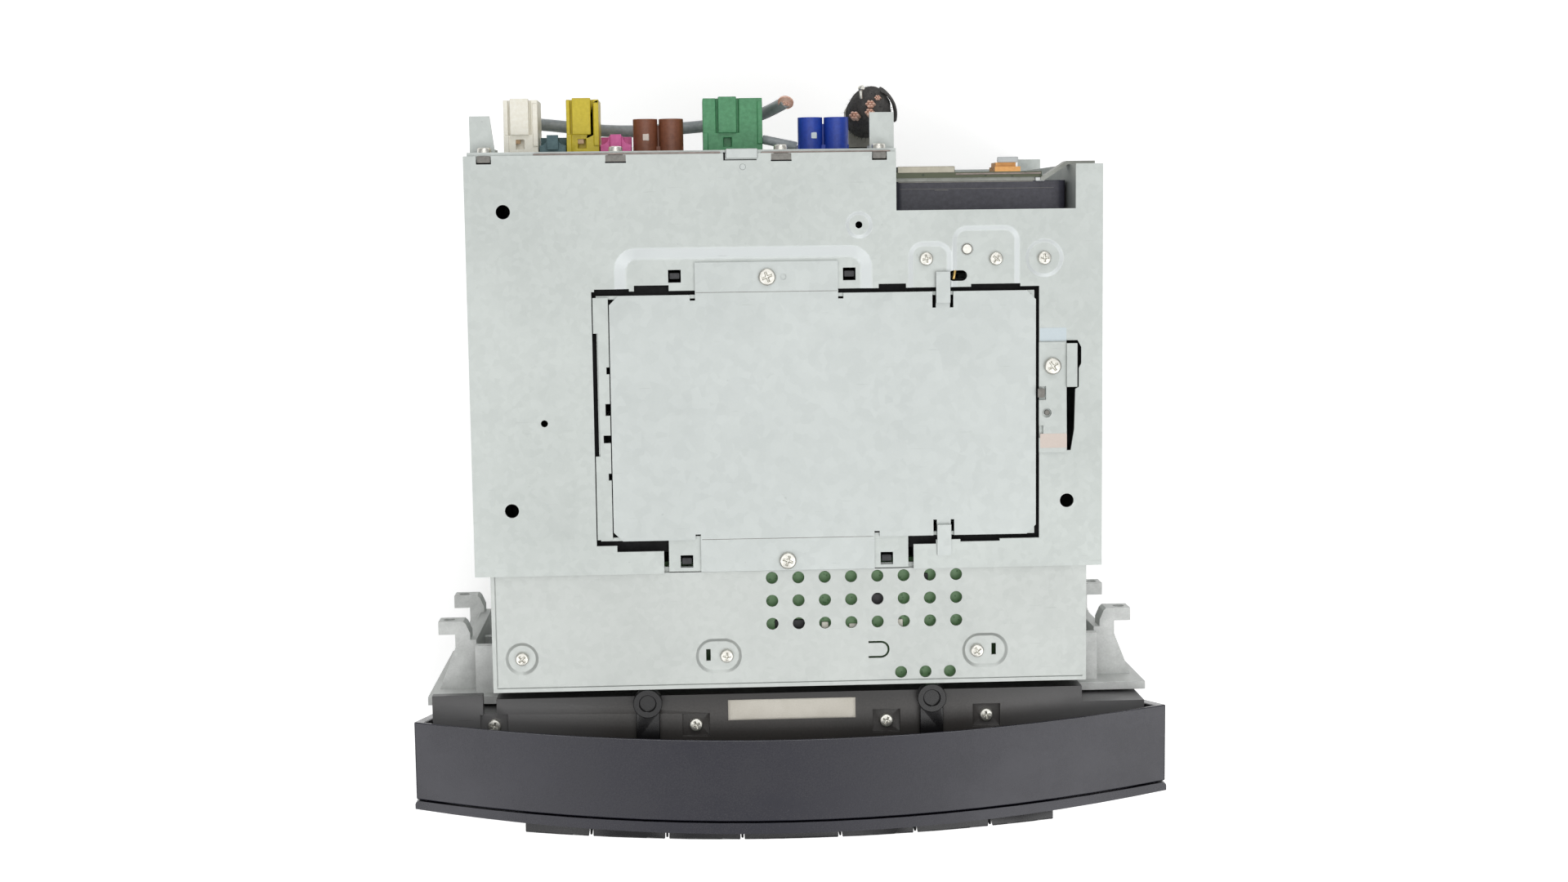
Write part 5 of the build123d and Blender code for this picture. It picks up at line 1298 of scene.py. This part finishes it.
@dataclass
class SheetDetails:
    """Blank label on the carrier and the painted shadow round the hatch. Millimetres."""

    label_x: tuple[float, float] = (-18.4, 18.8)
    label_y: tuple[float, float] = (-87.2, -81.2)
    carrier_top: float = 94.0
    label_rise: float = 0.08
    label_curl: float = 0.12
    label_thick: float = 0.06
    hatch: tuple[float, float, float, float] = (-55.2, 71.8, -34.2, 38.2)
    gap_shadow_low: float = 94.6
    gap_shadow_high: float = 97.1
    gap_shadow_width: float = 2.4
    gap_shadow_inner: float = 1.1

    def build(self, shop: MaterialShop) -> None:
        """Make the label and the painted gap shadow.

        Args:
            shop: The material shop.
        """
        finished(self.label(), shop, "label_paper")
        finished(self.seal(), shop, "seal_black")

    def seal(self) -> bpy.types.Object:
        """Black ring under the gap between the hatch opening and the drive frame, a painted shadow that
        darkens the gap.

        Four corners of a frame, each with an outer and an inner point at two heights, joined as one ring.

        Returns:
            The painted gap shadow.
        """
        left, right, front, rear = self.hatch
        wide = self.gap_shadow_width
        profile = np.array([(wide, self.gap_shadow_low), (wide, self.gap_shadow_high), (-self.gap_shadow_inner, self.gap_shadow_high),
                            (-self.gap_shadow_inner, self.gap_shadow_low)])
        out, z = profile[:, 0][None, :], profile[:, 1][None, :] + np.zeros((5, 1))
        x = np.array([left, right, right, left, left])[:, None] + np.array([-1, 1, 1, -1, -1])[:, None] * out
        y = np.array([front, front, rear, rear, front])[:, None] + np.array([-1, -1, 1, 1, -1])[:, None] * out
        return join_grids("hatch_gap_shadow", [np.stack([x, y, z], axis=2) * MM], smooth=False)

    def label(self) -> bpy.types.Object:
        """Blank paper label: a grid whose corners lift a little, closed below.

        The lift grows with the fourth power of the distance from the middle along both sides.

        Returns:
            The label.
        """
        across = np.linspace(-1.0, 1.0, 31)[:, None]
        along = np.linspace(-1.0, 1.0, 11)[None, :]
        lift = self.carrier_top + self.label_rise + self.label_curl * (across ** 4) * (along ** 4)
        x = np.mean(self.label_x) + across * (self.label_x[1] - self.label_x[0]) / 2 + 0 * along
        y = np.mean(self.label_y) + along * (self.label_y[1] - self.label_y[0]) / 2 + 0 * across
        top = np.stack([x, y, lift], axis=2) * MM
        piece = join_grids("blank_label", [top], wrap=False)
        skin = piece.modifiers.new("paper_thickness", "SOLIDIFY")
        skin.thickness = self.label_thick * MM
        skin.offset = -1.0
        return piece


@dataclass
class SmallParts:
    """Small loose parts that the photograph shows, in groups of one finish. Millimetres."""

    blocks: dict[str, tuple[str, tuple[tuple[Point, Point], ...]]] = field(default_factory=lambda: {
        "square_stops": ("roller_rubber", (
            ((-33.1, 41.5, 97.0), (-30.3, 43.2, 98.3)), ((16.4, 41.5, 97.0), (19.2, 43.2, 98.3)),
            ((-31.0, -40.2, 96.6), (-28.2, -38.4, 98.3)), ((26.5, -40.4, 96.6), (29.3, -38.6, 98.3)))),
        "peach_tape": ("tape_peach", (((71.9, -8.1, 101.0), (79.6, -4.0, 101.06)),)),
        "blue_tape": ("tape_blue", (((71.9, 22.4, 100.0), (79.6, 26.2, 100.06)),)),
        "bracket_block": ("part_grey", (((71.2, 6.4, 101.0), (73.2, 9.0, 101.4)),)),
        "latch_inserts": ("clip_beige", (((-77.0, 80.2, 85.9), (-74.9, 82.3, 87.6)),
                                         ((-58.9, 80.0, 85.9), (-56.8, 82.1, 87.6)))),
        "jack_tags_blue": ("tape_blue", (((8.0, 80.8, 87.0), (9.7, 82.6, 88.05)),)),
        "jack_tags_brown": ("tape_peach", (((-40.1, 80.7, 87.0), (-38.3, 82.7, 88.05)),)),
        "rear_tab": ("smooth_zinc", (((-16.7, 75.0, 99.4), (-7.8, 77.8, 100.5)),)),
        "sheet_line": ("sheet_edge", (((-70.5, 76.55, 99.2), (-18.2, 77.0, 100.15)),
                                      ((-6.8, 76.55, 99.2), (29.6, 76.9, 100.12)))),
        "notch_floors": ("part_grey", (((-50.5, 74.4, 99.5), (-44.6, 76.5, 100.03)),
                                       ((-4.1, 74.4, 99.5), (1.8, 76.5, 100.03)),
                                       ((-86.2, 74.6, 99.5), (-82.4, 76.5, 100.03)),
                                       ((24.6, 74.6, 99.5), (28.4, 76.5, 100.03)))),
        # Painted shadows: black strips laid in the rear notches and beside the rear tab
        "notch_shades": ("seal_black", (((-50.6, 74.1, 99.5), (-44.5, 74.7, 100.06)),
                                        ((-4.2, 74.1, 99.5), (1.9, 74.7, 100.06)),
                                        ((-17.5, 74.7, 99.5), (-16.8, 76.8, 100.08)),
                                        ((-17.5, 74.5, 99.5), (-8.0, 74.85, 100.05)))),
        "fan_lines": ("part_grey", (
            ((33.0, 67.85, 87.9), (72.0, 68.15, 88.06)), ((43.5, 65.6, 87.9), (47.5, 65.72, 88.03)),
            ((33.4, 66.0, 87.9), (78.0, 66.1, 88.02)))),
        "fan_shield": ("can_tin", (((32.7, 70.6, 88.6), (49.2, 72.5, 89.2)),)),
        "board_edge": ("sheet_edge", (((49.4, 70.0, 88.6), (74.2, 70.5, 89.15)),)),
        "fan_cable_end": ("clear_jacket", (((61.6, 73.4, 87.6), (67.6, 75.0, 88.8)),)),
        "fan_clip": ("mark_white", (((72.6, 68.0, 88.0), (75.3, 69.1, 88.9)),)),
        "key_webs": ("seal_black", tuple(((x - 0.32, -122.4 + x * x / 1500, 87.2), (x + 0.32, -114.2, 95.2))
                                         for x in (-58.9, -36.8, -14.8, 13.9, 36.0, 58.1))),
        "board_card": ("green_mask", (((-12.0, -77.0, 95.0), (52.0, -43.4, 95.6)),)),
        "card_chips": ("shell_black", (
            ((-4.5, -60.6, 95.5), (4.0, -57.4, 96.3)), ((22.0, -53.6, 95.5), (27.0, -50.2, 96.3)),
            ((36.5, -47.0, 95.5), (40.0, -44.6, 96.3)), ((43.0, -61.0, 95.5), (46.4, -58.0, 96.3)))),
        "card_whites": ("cream_nylon", (
            ((9.0, -61.4, 95.5), (11.0, -58.2, 96.5)), ((17.0, -60.2, 95.5), (19.6, -58.9, 96.5)),
            ((31.0, -60.6, 95.5), (32.6, -57.8, 96.5)), ((-2.6, -53.0, 95.5), (-0.8, -51.8, 96.5)))),
        "bracket_webs": ("die_cast", (
            ((-92.8, -82.4, 77.0), (-86.6, -66.4, 80.0)), ((86.6, -82.4, 77.0), (92.8, -66.4, 80.0)))),
        "fold_lines": ("part_grey", (
            ((-25.2, -33.0, 99.3), (24.0, -32.85, 99.64)), ((-25.8, 37.55, 99.3), (14.3, 37.7, 99.64)))),
    })
    rods: dict[str, tuple[str, tuple[tuple[Point, Point, float], ...]]] = field(default_factory=lambda: {
        "cover_rivet": ("bright_screw", (((51.3, 48.9, 98.9), (51.3, 48.9, 99.75), 1.5),)),
        "rivet_ring": ("part_grey", (((51.3, 48.9, 98.9), (51.3, 48.9, 99.4), 1.85),)),
        "cover_dimple": ("smooth_zinc", (((-12.0, 72.7, 99.6), (-12.0, 72.7, 100.2), 0.9),)),
        "cable_cut_face": ("bare_copper", (((1.3, 91.75, 80.3), (1.2, 91.35, 80.7), 2.3),)),
        "cut_lead": ("cable_sheath", (((-5.8, 80.9, 83.6), (4.1, 78.8, 83.6), 1.3),)),
        "hatch_spring": ("cut_brass", (((47.4, 40.4, 99.2), (47.9, 43.0, 99.2), 0.45),)),
        "bracket_pin": ("part_grey", (((74.0, 2.0, 99.9), (74.0, 2.0, 100.7), 0.8),)),
    })

    def build(self, shop: MaterialShop) -> None:
        """Make each group of blocks and each group of rods as one piece.

        Args:
            shop: The material shop.
        """
        for name, (finish, boxes) in self.blocks.items():
            finished(join_grids(name, [slab(low, high) for low, high in boxes]), shop, finish)
        for name, (finish, rods) in self.rods.items():
            finished(join_grids(name, [rod(*entry) for entry in rods]), shop, finish)


@dataclass
class KeyMarks:
    """Plain numbers on the top keys. Millimetres."""

    key_radius: float = 750.0
    number_x: tuple[float, ...] = (-68.4, -47.9, -25.8, -0.5, 24.9, 47.0, 67.4)
    number_z: float = 91.1
    number_size: float = 4.4
    number_thick: float = 0.04
    number_rise: float = 0.01
    key_face: float = -122.8

    def face_y(self, x: float, middle: float) -> float:
        """Y of the bowed key face at x: the middle value plus the fall of the arc."""
        return middle + self.key_radius - math.sqrt(self.key_radius ** 2 - x * x)

    def build(self, shop: MaterialShop) -> None:
        """Make one number on each key of the top row.

        Args:
            shop: The material shop.
        """
        for number, (key, x) in enumerate(zip(TOP_KEYS, self.number_x), start=1):
            text = bpy.data.curves.new(f"digit_{number}", "FONT")
            text.body = str(number)
            text.size = self.number_size * MM
            text.align_x = "CENTER"
            text.align_y = "CENTER"
            text.extrude = self.number_thick * MM
            flat = placed(f"digit_{number}_text", text)
            bpy.context.view_layer.update()
            mesh = bpy.data.meshes.new_from_object(flat.evaluated_get(bpy.context.evaluated_depsgraph_get()))
            bpy.data.objects.remove(flat)
            y = self.face_y(x, self.key_face) + self.number_rise
            mesh.transform(Matrix.Translation(Vector((x, y, self.number_z)) * MM)
                           @ Matrix.Rotation(math.radians(90), 4, "X"))
            mesh.name = f"digit_{number}"
            finished(placed(mesh.name, mesh), shop, "mark_white", key)


@dataclass
class CadDressing:
    """Dresses the CAD nodes, and eases the edges of those with moulded or cast edges."""

    eased: dict[str, float] = field(default_factory=lambda: {
        "left_bracket": 0.35, "right_bracket": 0.35, "fascia_frame": 0.3, "carrier": 0.3,
        "cream_coupler": 0.2, "yellow_coupler": 0.2, "green_coupler": 0.2, "teal_socket": 0.15,
        "pink_socket": 0.15, "brown_jacks": 0.2, "blue_jacks": 0.2, "main_socket": 0.3, "loom_plug": 0.4,
        **{key: 0.35 for key in TOP_KEYS}, "volume_knob": 0.25, "tuning_knob": 0.25,
        "locating_pegs": 0.4, "fan_frame": 0.3})
    rounded_end: float = 3.0
    # Top height, pocket depths and share of painted highlight on the pocket slopes of each pressed sheet
    pressed: dict[str, tuple[float, tuple[float, ...], float]] = field(default_factory=lambda: {
        "upper_cover": (100.0, (0.7, 1.4), 1.0), "front_shell": (98.6, (0.8, 1.4), 0.0)})
    trimmed: dict[str, tuple[Point, Point]] = field(default_factory=lambda: {
        "chassis_tray": ((31.8, 73.4, -1.0), (81.6, 78.0, 1.2))})
    stood_for: dict[str, str] = field(default_factory=lambda: {
        "large_screws": "bright_screw", "small_screws": "bright_screw", "grey_cable": "cable_sheath",
        "loom_stub": "cloth_tape"})

    def build(self, shop: MaterialShop) -> None:
        """Give every node its material, on an edited copy where it has one.

        Args:
            shop: The material shop.
        """
        members = frame["record"]["behaviour"]["bodies"]
        bodies = {node: body for body, nodes in members.items() for node in nodes}
        for node, finish in NODE_FINISH.items():
            dress(frame["nodes"][node], shop.get(finish))
            if node in self.eased:
                end = self.rounded_end if node in (TOP_KEYS[0], TOP_KEYS[-1]) else 0.0
                finished(eased_copy(node, self.eased[node], end), shop, finish, bodies[node])
            if node in self.trimmed:
                finished(trimmed_copy(node, *self.trimmed[node]), shop, finish, bodies[node])
            if node in self.pressed:
                finished(softened_copy(node, *self.pressed[node]), shop, finish, bodies[node])
        dress(frame["nodes"]["display_lens"], shop.lens())
        for node, finish in self.stood_for.items():
            dress(frame["nodes"][node], shop.get(finish))


def main() -> None:
    """Build the studio, the cable and every piece in order."""
    logging.basicConfig(level=logging.INFO, format="%(name)s: %(message)s")
    bpy.context.scene.view_settings.view_transform = "Standard"
    shop = MaterialShop()
    Studio().build()
    GreyCable().build(shop)
    for part in (CadDressing(), Fasteners(), LoomStub(), SheetDetails(), SmallParts(), KeyMarks()):
        part.build(shop)
        log.info("built %s", type(part).__name__)


if __name__ == "__main__":
    main()
